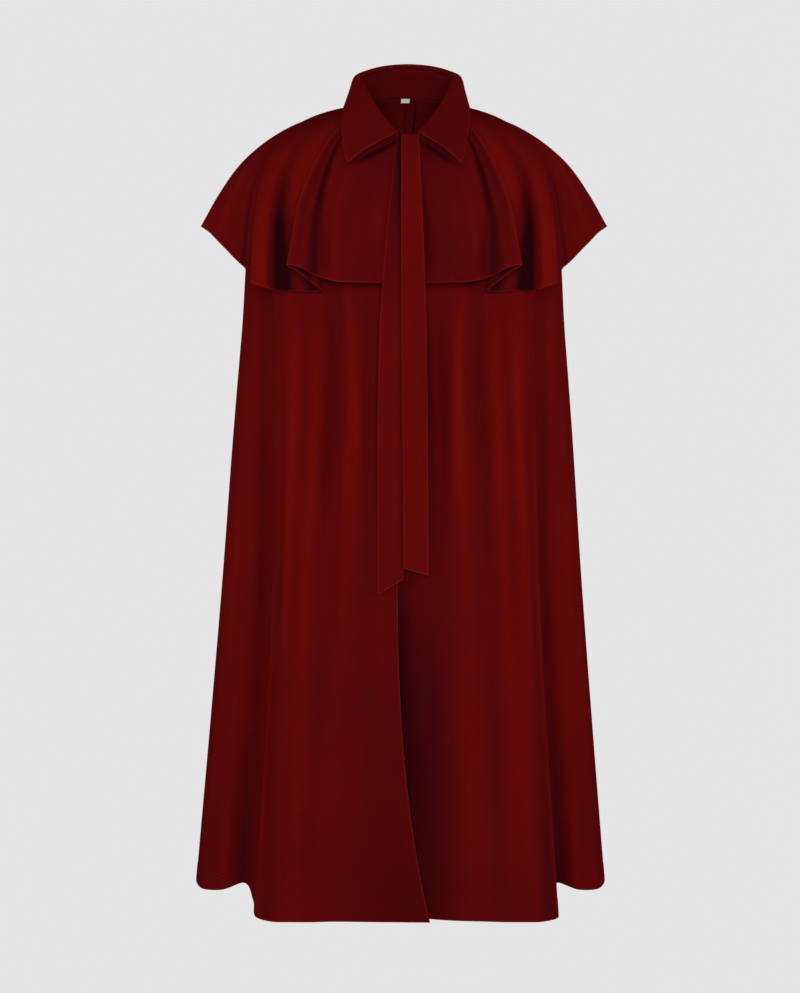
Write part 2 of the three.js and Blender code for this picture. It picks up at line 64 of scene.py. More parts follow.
# %% Camera
PICTURE = (800, 993)
MM_PER_PIXEL = 1.4
CAMERA_DISTANCE = 2.7
CAMERA_X = -0.0056
CAMERA_Z = -0.5439
SENSOR = 36.0

camera_data = bpy.data.cameras.new("camera")
camera = bpy.data.objects.new("camera", camera_data)
scene.collection.objects.link(camera)
camera.location = (CAMERA_X, -CAMERA_DISTANCE, CAMERA_Z)
camera.rotation_euler = (math.radians(90), 0, 0)
camera_data.sensor_width = SENSOR
camera_data.lens = SENSOR * CAMERA_DISTANCE / (max(PICTURE) * MM_PER_PIXEL * MM)
scene.camera = camera
print("lens of", round(camera_data.lens, 1), "mm")

# %% [markdown]
# The room is one pale bowl: a round floor that sweeps up into a wall, as in a photographer's studio, so
# that no horizon shows from any side. Its profile is a row of points in one upright plane, and one full
# spin makes the bowl. It glows evenly, as paper under studio light does, and is kept out of the light on
# the cloth.

# %% Floor and backdrop
FLOOR_Z = -1.42
BOWL = {"floor": 6.0, "cove": 1.6, "wall": 9.0, "steps": 64}
SWEEP_COLOR = (0, 0, 0, 1)
PAPER_GLOW = 0.78


def set_inputs(node, values):
    """Set a shader node's inputs by their names."""
    for name, value in values.items():
        node.inputs[name].default_value = value


bm = bmesh.new()
middle = (0, 0, FLOOR_Z)
quarter = [math.radians(angle) for angle in range(0, 91, 9)]
profile = [(0.0, 0.0)]
profile += [(BOWL["floor"] + BOWL["cove"] * math.sin(a), BOWL["cove"] * (1 - math.cos(a))) for a in quarter]
profile += [(BOWL["floor"] + BOWL["cove"], BOWL["wall"])]
line = [bm.verts.new((reach, 0, FLOOR_Z + rise)) for reach, rise in profile]
edges = [bm.edges.new(pair) for pair in zip(line, line[1:])]
full_turn = 2 * math.pi
bmesh.ops.spin(
    bm, geom=line + edges, cent=middle, axis=(0, 0, 1), angle=full_turn, steps=BOWL["steps"], use_merge=True
)
bmesh.ops.remove_doubles(bm, verts=bm.verts, dist=0.0001)
bmesh.ops.recalc_face_normals(bm, faces=bm.faces)
bmesh.ops.reverse_faces(bm, faces=bm.faces)
sweep_mesh = bpy.data.meshes.new("studio_sweep")
bm.to_mesh(sweep_mesh)
bm.free()
sweep_mesh.shade_smooth()
sweep = bpy.data.objects.new("studio_sweep", sweep_mesh)
scene.collection.objects.link(sweep)
sweep.visible_diffuse = False
sweep.visible_glossy = False
sweep_material = bpy.data.materials.new("studio_paper")
sweep_material.use_nodes = True
sweep_shader = sweep_material.node_tree.nodes["Principled BSDF"]
set_inputs(sweep_shader, {"Base Color": SWEEP_COLOR, "Specular IOR Level": 0})
set_inputs(sweep_shader, {"Emission Color": (1, 1, 1, 1), "Emission Strength": PAPER_GLOW})
sweep_mesh.materials.append(sweep_material)
print("studio bowl of", len(sweep_mesh.polygons), "faces")

# %% [markdown]
# A large soft box stands before the cape, so cloth that faces it is brightest and the walls of each fold
# fall off. Tall ones at both sides fill the sides, and one behind lights the back. The boxes themselves are
# hidden from the camera, so that none shows when the cape is seen from behind.

# %% Lights: name, place, size and watts
SOFT_BOXES = [
    ("front_box", (0.05, -2.7, -0.15), (1.2, 1.2), 50),
    ("left_box", (-2.6, -0.9, -0.1), (0.9, 1.0), 27),
    ("right_box", (2.6, -0.9, -0.1), (0.9, 1.0), 29),
    ("back_box", (0.7, 2.8, 0.1), (1.0, 1.2), 96),
]
LIGHT_TARGET = (0, 0, -0.45)
WORLD_LIGHT = 0.12


def aim(item, target):
    """Turn a light so that it shines at a point."""
    way = mathutils.Vector(target) - item.location
    item.rotation_euler = way.to_track_quat("-Z", "Y").to_euler()


for name, place, size, watts in SOFT_BOXES:
    light_data = bpy.data.lights.new(name, "AREA")
    light_data.shape = "RECTANGLE"
    light_data.size, light_data.size_y = size
    light_data.energy = watts
    light = bpy.data.objects.new(name, light_data)
    light.location = place
    light.visible_camera = False
    scene.collection.objects.link(light)
    aim(light, LIGHT_TARGET)

world = bpy.data.worlds.new("white_room")
world.use_nodes = True
set_inputs(world.node_tree.nodes["Background"], {"Color": (1, 1, 1, 1), "Strength": WORLD_LIGHT})
scene.world = world
scene.view_settings.view_transform = "Standard"
print(len(SOFT_BOXES), "soft boxes and a world of", WORLD_LIGHT)

# %% [markdown]
# ## The garment's sizes
#
# A cutter thinks of a cape as rings round the figure and of its folds as lines that run down through them.
# These two tables hold just that, in millimetres. `drop` is the way down the cloth from the neck seam, X
# goes out from the middle, and Y is how far back a line lies. Right and left are the wearer's.

# %% Rings of the body over a general figure
CLOTH = 2.0
SEAM_GAP = 0.3
CAPELET_CLEAR = {"far": 5.5, "from": 0.2}
RIGHT, LEFT = -1, 1
RING_COLUMNS = (
    "drop", "centre_x", "side_x", "side_y", "side_z", "front_y", "front_z", "back_y", "back_z", "full"
)
RINGS = {
    "neck seam": (0, 5, 68, 8, 4, -74, -56, 62, 27, 2),
    "yoke": (50, 1, 116, 9, -13, -96, -96, 92, -12, 2.1),
    "shoulder": (100, 0, 161, 11, -32, -111, -143, 105, -60, 2.2),
    "arm point": (150, 0, 195, 13, -66, -120, -192, 110, -110, 2.3),
    "upper arm": (200, 0, 211, 14, -118, -125, -242, 113, -165, 2.3),
    "chest": (330, 0, 226, 18, -322, -131, -322, 118, -322, 2.3),
}
RING_HEIGHT_POWER = 1.6
LOW_DROP, LOW_Z, HEM_DROP = 700, -690, 1130

# %% Fold lines of the body, from the centre front to the centre back
BODY_COLUMNS = ("angle", "chest_x", "chest_y", "low_x", "low_y", "hem_x", "hem_y", "hem_z")
BODY_FOLDS = {
    "front edge": (0.6, 4, -132, 4, -161, 2, -192, -1097),
    "front flat": (9, 42, -133, 50, -162, 60, -192, -1097),
    "small crest": (17.5, 74, -138, 84, -164, 98, -191, -1097),
    "front valley": (22.6, 92, -122, 108, -157, 126, -190, -1098),
    "broad crest": (30.2, 116, -125, 132, -160, 152, -190, -1098),
    "broad crest end": (43.3, 152, -117, 161, -150, 176, -183, -1099),
    "corner": (49.5, 171, -94, 177, -124, 199, -152, -1100),
    "corner return": (53.4, 181, -69, 184, -80, 201, -84, -1092),
    "side valley": (58.3, 192, -46, 197, -36, 219, -18, -1081),
    "lobe front": (68.2, 210, -28, 225, -28, 247, -26, -1089),
    "lobe crest": (80, 223, -4, 244, -14, 272, -14, -1091),
    "side seam": (97, 228, 26, 256, 26, 289, 30, -1085),
    "back lobe": (109, 215, 62, 244, 76, 276, 92, -1086),
    "back side valley": (126, 187, 82, 206, 94, 226, 108, -1090),
    "back side crest": (139, 155, 103, 176, 134, 198, 164, -1096),
    "back valley": (152.5, 113, 104, 125, 128, 138, 148, -1097),
    "back crest": (163, 76, 117, 86, 152, 95, 186, -1099),
    "centre valley": (172.5, 36, 114, 40, 143, 44, 170, -1099),
    "centre back": (180, 0, 117, 0, 150, 0, 180, -1099),
}
SIDE_SEAM = list(BODY_FOLDS).index("side seam")
FRONT_REACH = list(BODY_FOLDS).index("front valley")
HEM_LEAN = {"front": 4, "rest": -5, "from": -150, "to": -60}
LEAN_SHARES = {"chest": 0.2, "low": 0.6, "hem": 1.0}
LAP_DROP = 600
FRONT_LAP = {"crossing": 32, "forward": 5, "late": 3.6, "spread": 1.6}
FRONT_TUCK = {"inward": 30, "late": 1.3, "spread": 2.6}
FRONT_SWAY = {"by": -7, "drop": 720, "length": 260, "spread": 1.6}
FRONT_UNDER = {"across": -13, "behind": 9, "from": 560, "soft": 40, "spread": 10}
print(len(BODY_FOLDS), "fold lines on each half of the body")

# %% [markdown]
# The capelet hangs in deep flutes. A flute is a fold whose cloth turns back under itself and forward again,
# so its lines don't run steadily outwards: they go out to the flute's edge, back in, and out once more.

# %% Fold lines of the capelet, from the centre front to the centre back
CAPELET_COLUMNS = ("neck", "hem", "drop", "hem_x", "hem_y", "hem_z", "late")
CAPELET_FOLDS = {
    "front edge": (1.5, 0.7, 222, 4, -149, -262, 1.2),
    "flat": (17, 14, 222, 50, -150, -261, 1.2),
    "flat end": (42, 27, 222, 97, -148, -258, 1.4),
    "groove": (56, 33, 222, 116, -136, -251, 1.6),
    "flute face": (61, 36, 218, 140, -160, -241, 2),
    "flute edge": (65, 40, 216, 156, -156, -238, 2),
    "return": (69, 42, 220, 143, -145, -246, 1.9),
    "return end": (72, 44, 226, 122, -134, -261, 1.8),
    "inner edge": (74, 45, 232, 111, -129, -270, 1.8),
    "under layer": (76, 46.5, 234, 123, -124, -271, 1.8),
    "under layer end": (78, 49, 240, 142, -118, -269, 1.6),
    "trough": (81, 55, 246, 164, -103, -268, 1.6),
    "side layer": (84, 63, 256, 187, -119, -264, 1.6),
    "side edge": (87, 71, 258, 208, -100, -254, 2.4),
    "side return": (88.5, 72, 254, 204, -84, -245, 3.2),
    "side inner edge": (90, 73.5, 250, 202, -70, -239, 3.4),
    "wing root": (91.5, 77, 242, 219, -52, -229, 2.8),
    "wing": (93, 83, 224, 253, -18, -195, 2),
    "wing front edge": (94.4, 89, 208, 281, 5, -167, 2),
    "wing tip": (95, 90, 206, 286, 11, -164, 2),
    "wing back edge": (95.6, 91, 208, 281, 17, -167, 2),
    "back wing": (99, 98, 226, 251, 44, -191, 2),
    "back wing root": (106, 106, 250, 218, 78, -228, 2),
    "back side valley": (116, 117, 264, 194, 97, -252, 1.6),
    "back side flute": (128, 129, 270, 168, 131, -261, 1.6),
    "back valley": (142, 143, 274, 128, 121, -269, 1.6),
    "back flute": (156, 155, 278, 92, 149, -271, 1.6),
    "centre valley": (168, 168, 280, 46, 134, -274, 1.6),
    "centre back": (180, 180, 282, 0, 141, -275, 1.6),
}
SHOULDER_SEAM = list(CAPELET_FOLDS).index("wing tip")
CAPELET_ROWS = np.array([0, 0.14, 0.28, 0.42, 0.56, 0.7, 0.85, 1])
NECK_PULL = 2.4

# %% Collar, ties and label
COLLAR_COLUMNS = ("angle", "stand", "lean", "roll", "leaf_angle", "leaf_drop", "lift", "bulge")
COLLAR = {
    "front end": (13, 1.5, 0, 3.4, 29, 80, 19, 5),
    "front": (32, 14, -1, 4.4, 43, 52, 14, 5),
    "side front": (60, 27, -2, 4.6, 64, 27, 9, 3),
    "side": (90, 37, -1, 4.6, 90, 13, 7, 1),
    "side back": (130, 41, 1, 4.6, 130, 11, 7, 1),
    "back": (180, 42, 4, 4.6, 180, 10, 7, 1),
}
COLLAR_CLOTH = 2.4
ROLL_STOPS = (0, 50, 100, 150)
LEAF_MIDDLE = 0.55
LEAF_KNOTS = np.array([0, 0.1, 0.2, 0.3, 0.62, 1])
TIE_CLOTH = 2.2
TIE_TOP = {"width": 24, "z": -55}
TIE_KNOTS = np.array([0, 0.36, 1])
TIES = {
    "tie_left": {"x": (8, 12, 16), "width": 33, "end_z": -644, "slant": 5, "lift": 5.1},
    "tie_right": {"x": (2, -13, -18.5), "width": 35, "end_z": -664, "slant": -10, "lift": 2.55},
}
TIE_LINE_Z = np.array([-55, -78, -105, -142, -198, -262, -450, -700])
TIE_LINE_Y = np.array([-76.4, -95.4, -111.1, -124.4, -138.6, -150.2, -153, -163])
LABEL = {"x": -2.5, "width": 12, "top": 0, "height": 6.4, "clear": 0.9, "cloth": 1.0}


def columns(table, names):
    """A table of rows as one array for each named column."""
    return dict(zip(names, np.array(list(table.values()), float).T))


ring = columns(RINGS, RING_COLUMNS)
body = columns(BODY_FOLDS, BODY_COLUMNS)
capelet = columns(CAPELET_FOLDS, CAPELET_COLUMNS)
collar = columns(COLLAR, COLLAR_COLUMNS)
print("collar stands", collar["stand"][-1], "mm high at the back")

# %% [markdown]
# ## Smooth surfaces through the lines
#
# A smooth curve through a few placed points is a spline. This one takes its slope at each point from the
# two stretches beside it. It works on whole arrays, so a panel of thirty thousand points takes a moment.

# %% A smooth curve through points placed at knots
def curve_at(knots, values, t):
    """Values of the smooth curve at each t; values may be points, one row for each knot."""
    knots = np.asarray(knots, float)
    values = np.asarray(values, float)
    t = np.asarray(t, float)
    steps = np.diff(knots)
    shape = (-1,) + (1,) * (values.ndim - 1)
    slopes = np.diff(values, axis=0) / steps.reshape(shape)
    tangents = np.concatenate([slopes[:1], slopes[:1].repeat(len(steps) - 1, 0), slopes[-1:]])
    before = steps[:-1].reshape(shape)
    after = steps[1:].reshape(shape)
    tangents[1:-1] = (slopes[1:] * before + slopes[:-1] * after) / (before + after)
    i = np.clip(np.searchsorted(knots, t, side="left") - 1, 0, len(steps) - 1)
    span = steps[i].reshape((-1,) + (1,) * (values.ndim - 1))
    s = ((t - knots[i]) / steps[i]).reshape(span.shape)
    return (
        (2 * s**3 - 3 * s**2 + 1) * values[i]
        + (s**3 - 2 * s**2 + s) * span * tangents[i]
        + (3 * s**2 - 2 * s**3) * values[i + 1]
        + (s**3 - s**2) * span * tangents[i + 1]
    )


def form_point(side, angle, drop):
    """Points on the body's cloth above the chest, at angles from the front and drops from the neck seam."""
    angle, drop = np.broadcast_arrays(np.asarray(angle, float), np.asarray(drop, float))
    flat = {name: curve_at(ring["drop"], ring[name], drop.ravel()).reshape(drop.shape) for name in ring}
    turn = np.radians(angle)
    power = 2 / flat["full"]
    across = np.sign(np.sin(turn)) * np.abs(np.sin(turn)) ** power
    along = np.abs(np.cos(turn)) ** power
    rise = np.abs(np.cos(turn)) ** RING_HEIGHT_POWER
    end_y = np.where(angle < 90, flat["front_y"], flat["back_y"])
    end_z = np.where(angle < 90, flat["front_z"], flat["back_z"])
    x = flat["centre_x"] + side * flat["side_x"] * across
    y = flat["side_y"] + (end_y - flat["side_y"]) * along
    z = flat["side_z"] + (end_z - flat["side_z"]) * rise
    return np.stack([x, y, z], -1)


def unit(vectors):
    """The same directions, one long."""
    return vectors / np.maximum(np.linalg.norm(vectors, axis=-1, keepdims=True), 1e-9)


def form_normal(side, angle, drop):
    """Outward directions of the body's cloth above the chest."""
    angle = np.clip(angle, 4, 176)
    drop = np.maximum(drop, 2)
    ahead = form_point(side, np.minimum(angle + 2, 179), drop)
    behind = form_point(side, np.maximum(angle - 2, 1), drop)
    below = form_point(side, angle, np.minimum(drop + 2, 330))
    above = form_point(side, angle, np.maximum(drop - 2, 0))
    return unit(np.cross(ahead - behind, below - above)) * -np.asarray(side)[..., None]


def off_body(side, angle, drop, by):
    """Points that lie off the body's cloth by a distance."""
    return form_point(side, angle, drop) + form_normal(side, angle, drop) * by


# %% [markdown]
# A net is a set of rows of points, and a surface through a net is two splines, one after the other: along
# every row first, and then down through the rows.

# %% Half garments as surfaces
def bell(distance, width):
    """1 at no distance, and falling softly to 0 beyond the width."""
    return np.exp(-((distance / width) ** 2))


def chords(points):
    """Distances along a row of points, from 0."""
    return np.concatenate([[0], np.cumsum(np.linalg.norm(np.diff(points, axis=0), axis=1))])


class Half:
    """Half of the garment: a smooth surface through rows of points, mirrored at the centre back."""

    def __init__(self, rows, knots, row_knots, seam_line):
        rows = np.asarray(rows, float)
        past = rows[:, -2:-1] * 1.0
        past[..., 0] = 2 * rows[:, -1:, 0] - past[..., 0]
        self.rows = np.concatenate([rows, past], axis=1)
        self.knots = np.append(knots, 2 * knots[-1] - knots[-2])
        self.row_knots = row_knots
        self.seam = knots[seam_line]
        self.end = knots[-1]

    def at(self, t, v):
        """Points for every v and t: an array of rows, each with its points along the cloth."""
        along = curve_at(self.knots, np.swapaxes(self.rows, 0, 1), t)
        return curve_at(self.row_knots, np.swapaxes(along, 0, 1), v)


def body_half(side):
    """Half of the body on its fold lines, by distance along the cloth and drop from the neck seam."""
    share = np.clip((body["hem_y"] - HEM_LEAN["from"]) / (HEM_LEAN["to"] - HEM_LEAN["from"]), 0, 1)
    lean = HEM_LEAN["front"] + (HEM_LEAN["rest"] - HEM_LEAN["front"]) * share**2 * (3 - 2 * share)
    rows = [form_point(side, body["angle"], drop) for drop in ring["drop"][:-1]]
    levels = {"chest": ring["side_z"][-1], "low": LOW_Z, "hem": body["hem_z"]}
    for level, z in levels.items():
        x = side * body[level + "_x"] + lean * LEAN_SHARES[level]
        rows.append(np.stack([x, body[level + "_y"], np.broadcast_to(z, x.shape)], -1))
    knots = chords(rows[-2])
    return Half(rows, knots, np.append(ring["drop"], [LOW_DROP, HEM_DROP]), SIDE_SEAM)


def capelet_half(side):
    """Half of the capelet, by distance along its hem and share of the way down to it."""
    share = CAPELET_ROWS[:, None]
    angle = capelet["hem"] + (capelet["neck"] - capelet["hem"]) * (1 - share) ** NECK_PULL
    step_in = np.minimum(1, share / CAPELET_CLEAR["from"])
    clear = CLOTH + SEAM_GAP + (CAPELET_CLEAR["far"] - SEAM_GAP) * step_in
    hem = np.stack([side * capelet["hem_x"], capelet["hem_y"], capelet["hem_z"]], -1)
    rest = off_body(side, capelet["hem"], capelet["drop"], clear[..., None])
    place = off_body(side, angle, capelet["drop"] * share, clear[..., None])
    rows = place + (hem - rest) * (share ** capelet["late"])[..., None]
    return Half(rows, chords(rows[-1]), CAPELET_ROWS, SHOULDER_SEAM)


halves = {side: {"body": body_half(side), "capelet": capelet_half(side)} for side in (RIGHT, LEFT)}
print("half the body is", round(halves[LEFT]["body"].end), "mm along its folds")

# %% [markdown]
# ## Laying the cloth
#
# Each piece of cloth is a grid from one operator. The grid's columns run along the cloth and its rows run
# down it, and every point goes to its place on the piece's surface. A few columns lie close beside each
# edge, so that the edge shades crisply and the seams can sink in. Solidify then gives the cloth its
# thickness.
#
# The pattern of the weave needs real distances, so each point also gets its place in the flat cloth as a UV
# map, in metres.

# %% Places along a piece, close together beside its edges
EDGE_STEPS = (0.4, 1.2, 2.6)


def places(start, end, step, edge=1.0):
    """Places from start to end at about one step, with close ones beside both ends."""
    even = np.linspace(start, end, max(3, round((end - start) / step)) + 1)
    close = [start + gap * edge for gap in EDGE_STEPS] + [end - gap * edge for gap in EDGE_STEPS]
    return np.unique(np.concatenate([even, close]))


def distances(grid, axis):
    """Distances along a grid of points, from 0 at its first row or column."""
    steps = np.linalg.norm(np.diff(grid, axis=axis), axis=-1)
    start = np.zeros_like(np.take(steps, [0], axis))
    return np.concatenate([start, np.cumsum(steps, axis)], axis)


def outward(grid, facing):
    """Directions out of the visible side of a grid of points."""
    along = np.gradient(grid, axis=1)
    down = np.gradient(grid, axis=0)
    return unit(np.cross(along, down)) * facing


# %% [markdown]
# Light hardly reaches the bottom of a fold, so shade is painted into the wool's colour there, and a
# painted highlight runs along each free edge. So every point of a sheet carries two values, which the
# wool's
# colour reads later: how deep it lies beside a smoothed copy of the sheet, for small creases and for whole
# folds, and how near it is to a free edge.

# %% How deep each point lies between its neighbours
HOLLOW_PAD = 14
CREASE_SCALE = {"rounds": 8, "deep": 1.6, "share": 0.6}
FOLD_SCALE = {"rounds": 60, "deep": 13.0, "share": 0.65}


def hollowness(grid, facing):
    """Over 0 for a point in a crease or a fold, 0 on open cloth and under 0 on a crest."""
    ramp = np.arange(1, HOLLOW_PAD + 1)[None, :, None]
    before = grid[:, :1] - (grid[:, 3:4] - grid[:, :1]) / 3 * ramp[:, ::-1]
    after = grid[:, -1:] + (grid[:, -1:] - grid[:, -4:-3]) / 3 * ramp
    smooth = np.concatenate([before, grid, after], axis=1)
    away = outward(grid, facing)
    hollow = 0
    done = 0
    for scale in (CREASE_SCALE, FOLD_SCALE):
        for _ in range(scale["rounds"] - done):
            smooth[:, 1:-1] = (smooth[:, :-2] + 2 * smooth[:, 1:-1] + smooth[:, 2:]) / 4
        done = scale["rounds"]
        depth = ((smooth[:, HOLLOW_PAD:-HOLLOW_PAD] - grid) * away).sum(-1)
        hollow = hollow + scale["share"] * np.tanh(depth / scale["deep"])
    return hollow


# %% How near each point lies to a free edge
EDGE_WIDTH = 1.3


def edge_nearness(grid, free):
    """1 on the piece's free edges and 0 away from them; free names first, last and bottom."""
    along = distances(grid, 1)
    down = distances(grid, 0)
    away = {"first": along, "last": along[:, -1:] - along, "bottom": down[-1:] - down}
    nearest = np.full(grid.shape[:2], 99.0)
    for edge in free:
        nearest = np.minimum(nearest, away[edge])
    return bell(nearest, EDGE_WIDTH)


# %% A sheet of cloth from a grid of points
pieces = {}


def lay_cloth(name, grid, facing, thickness, grow=-1, hollow=None, free=(), painted_highlight=0.0):
    """A new piece of cloth through a grid of points in millimetres.

    facing is 1 or -1, whichever shows the visible side, and grow is 1 where the cloth thickens outwards.
    hollow and the highlight set its colour: painted shade deep in folds, and a painted highlight along
    crests and free edges.
    """
    rows, cols = grid.shape[:2]
    bm = bmesh.new()
    bmesh.ops.create_grid(bm, x_segments=cols - 1, y_segments=rows - 1, size=1)
    if facing < 0:
        bmesh.ops.reverse_faces(bm, faces=bm.faces)
    mesh = bpy.data.meshes.new(name)
    bm.to_mesh(mesh)
    bm.free()
    flat = np.empty(len(mesh.vertices) * 3)
    mesh.vertices.foreach_get("co", flat)
    flat = flat.reshape(-1, 3)
    col = np.rint((flat[:, 0] + 1) / 2 * (cols - 1)).astype(int)
    row = np.rint((flat[:, 1] + 1) / 2 * (rows - 1)).astype(int)
    mesh.vertices.foreach_set("co", (grid[row, col] * MM).ravel())
    uv = np.stack([distances(grid, 1)[row, col], distances(grid, 0)[row, col]], -1) * MM
    corner = np.empty(len(mesh.loops), int)
    mesh.loops.foreach_get("vertex_index", corner)
    mesh.uv_layers.new(name="cloth").data.foreach_set("uv", uv[corner].ravel())
    hollow = hollowness(grid, facing) if hollow is None else hollow
    # The edge value paints a highlight along free edges and along the crests passed in.
    edge = np.maximum(edge_nearness(grid, free), painted_highlight)
    for key, values in (("hollow", hollow), ("edge", edge)):
        mesh.attributes.new(key, "FLOAT", "POINT").data.foreach_set("value", values[row, col])
    mesh.shade_smooth()
    mesh.update()
    piece = bpy.data.objects.new(name, mesh)
    scene.collection.objects.link(piece)
    solid = piece.modifiers.new("cloth thickness", "SOLIDIFY")
    solid.thickness = thickness * MM
    solid.offset = grow
    pieces[name] = piece
    return piece


# %% [markdown]
# ## Creases
#
# The fold lines give the big shapes. Real cloth also has small creases that come and go, so these are
# placed one by one. Each starts and ends beside a named fold line, as a share of the way to the next line,
# and has its own length, width and depth in millimetres. A positive depth is a ridge, a negative one a
# trough.

# %% Creases on the right: fold line, place at the top and the bottom, drop from and to, half width, depth
RIGHT_BODY_CREASES = [
    ("front edge", 0.8, 0.78, 270, 640, 5, -1),
    ("front flat", 0.15, 0.1, 300, 690, 9, -0.9),
    ("front flat", 0.62, 0.55, 290, 560, 7, 1.5),
    ("small crest", 0.1, 0.2, 300, 520, 5, -1.3),
    ("front valley", 0.05, 0.1, 290, 640, 8, -2.4),
    ("broad crest", 0.05, 0.12, 270, 900, 9, 1.8),
    ("broad crest", 0.45, 0.4, 280, 560, 7, -1.5),
    ("broad crest", 0.8, 0.86, 290, 760, 8, 2.2),
    ("broad crest end", 0.45, 0.35, 330, 820, 6, -1.6),
    ("corner", 0, 0, 360, 1200, 5, 1.6),
    ("corner", 0.6, 0.5, 420, 1080, 6, -1.5),
    ("corner return", 0.5, 0.6, 300, 700, 8, 1.4),
    ("side valley", 0.1, 0, 280, 980, 8, -2.6),
    ("lobe front", 0.4, 0.45, 330, 900, 7, 1.5),
    ("lobe crest", 0.3, 0.4, 420, 1200, 8, -1.4),
    ("front edge", 0.55, 0.5, 640, 1010, 14, 1.1),
    ("front flat", 0.8, 0.7, 700, 1060, 13, -1.3),
    ("small crest", 0.8, 0.9, 760, 1210, 12, 1.3),
    ("broad crest", 0.5, 0.55, 820, 1180, 11, -1.2),
    ("side seam", 0.35, 0.45, 300, 860, 9, 1.8),
    ("side seam", 0.8, 0.75, 480, 1150, 9, -1.6),
    ("back lobe", 0.55, 0.6, 310, 760, 8, -1.9),
    ("back side valley", 0.2, 0.15, 330, 980, 9, -2.3),
    ("back side valley", 0.75, 0.7, 300, 620, 7, 1.7),
    ("back side crest", 0.4, 0.35, 290, 820, 9, -1.7),
    ("back valley", 0.1, 0.05, 320, 700, 8, -2.1),
    ("back valley", 0.6, 0.62, 360, 940, 9, 1.5),
    ("back crest", 0.35, 0.45, 300, 560, 7, -1.5),
    ("centre valley", 0.2, 0.1, 340, 860, 9, -1.8),
]

# %% Creases on the left, in the same columns
LEFT_BODY_CREASES = [
    ("front edge", 0.72, 0.8, 270, 650, 6, -2.3),
    ("front flat", 0.25, 0.2, 300, 600, 8, -1.5),
    ("front flat", 0.75, 0.7, 290, 640, 7, 1.6),
    ("small crest", 0.35, 0.3, 300, 500, 6, -1.3),
    ("front valley", 0, 0.08, 290, 690, 8, -2.4),
    ("broad crest", 0.1, 0.02, 270, 840, 8, 1.7),
    ("broad crest", 0.52, 0.6, 290, 650, 8, -1.5),
    ("broad crest", 0.9, 0.82, 280, 700, 7, 2),
    ("broad crest end", 0.55, 0.5, 350, 900, 6, -1.5),
    ("corner", 0.05, 0, 360, 1200, 5, 1.7),
    ("corner", 0.65, 0.62, 400, 1040, 6, -1.7),
    ("corner return", 0.4, 0.55, 310, 660, 8, 1.3),
    ("side valley", 0.15, 0.05, 280, 1010, 8, -2.4),
    ("lobe front", 0.55, 0.4, 340, 840, 7, 1.4),
    ("lobe crest", 0.45, 0.35, 450, 1200, 8, -1.5),
    ("front edge", 0.7, 0.65, 660, 1060, 15, -1.2),
    ("front flat", 0.6, 0.72, 720, 1120, 13, 1.3),
    ("small crest", 0.9, 0.8, 740, 1200, 12, -1.2),
    ("broad crest", 0.4, 0.5, 800, 1150, 12, 1.2),
    ("side seam", 0.45, 0.4, 310, 800, 9, 1.6),
    ("side seam", 0.85, 0.8, 460, 1120, 9, -1.7),
    ("back lobe", 0.5, 0.62, 320, 700, 8, -1.7),
    ("back side valley", 0.25, 0.22, 340, 920, 9, -2.2),
    ("back side valley", 0.8, 0.72, 300, 660, 7, 1.6),
    ("back side crest", 0.45, 0.5, 300, 760, 9, -1.6),
    ("back valley", 0.05, 0.12, 330, 760, 8, -2.2),
    ("back valley", 0.65, 0.6, 350, 880, 9, 1.6),
    ("back crest", 0.4, 0.3, 300, 610, 7, -1.4),
    ("centre valley", 0.3, 0.2, 330, 900, 9, -1.6),
    ("centre valley", -0.56, 0.78, -30, 100, 3.5, -1.1),
]
BODY_CREASES = {RIGHT: RIGHT_BODY_CREASES, LEFT: LEFT_BODY_CREASES}
print(sum(map(len, BODY_CREASES.values())), "body creases")

# %% Capelet creases on the right: fold line, place at top and bottom, share from and to, half width, depth
RIGHT_CAPELET_CREASES = [
    ("front edge", 0.75, 0.7, 0.3, 0.85, 12, 0.9),
    ("flat", 0.55, 0.6, 0.35, 0.95, 9, -0.9),
    ("flat", 0.9, 0.95, 0.45, 1.2, 6, 0.9),
    ("flat end", 0.2, 0.45, 0.93, 1.1, 5, 1.7),
    ("flat", 0.98, 0.8, 0.94, 1.1, 5, -1.5),
    ("groove", 0.3, 0, 0.05, 0.85, 7, -3.2),
    ("flute edge", -0.2, 0, 0.05, 0.8, 6, 3),
    ("trough", 0.5, 0.55, 0.5, 1.2, 5, 1.2),
    ("wing root", 0.4, 0.35, 0.45, 1.1, 8, -1.4),
    ("wing", 0.3, 0.35, 0.4, 1.2, 9, 1.2),
    ("back wing", 0.6, 0.55, 0.35, 1.1, 10, -1.4),
    ("back side valley", 0.3, 0.25, 0.4, 1.2, 9, -1.3),
    ("back side flute", 0.45, 0.5, 0.35, 0.95, 8, 1.2),
    ("back valley", 0.2, 0.25, 0.4, 1.2, 9, -1.3),
    ("back flute", 0.5, 0.6, 0.45, 1.1, 9, 1),
]

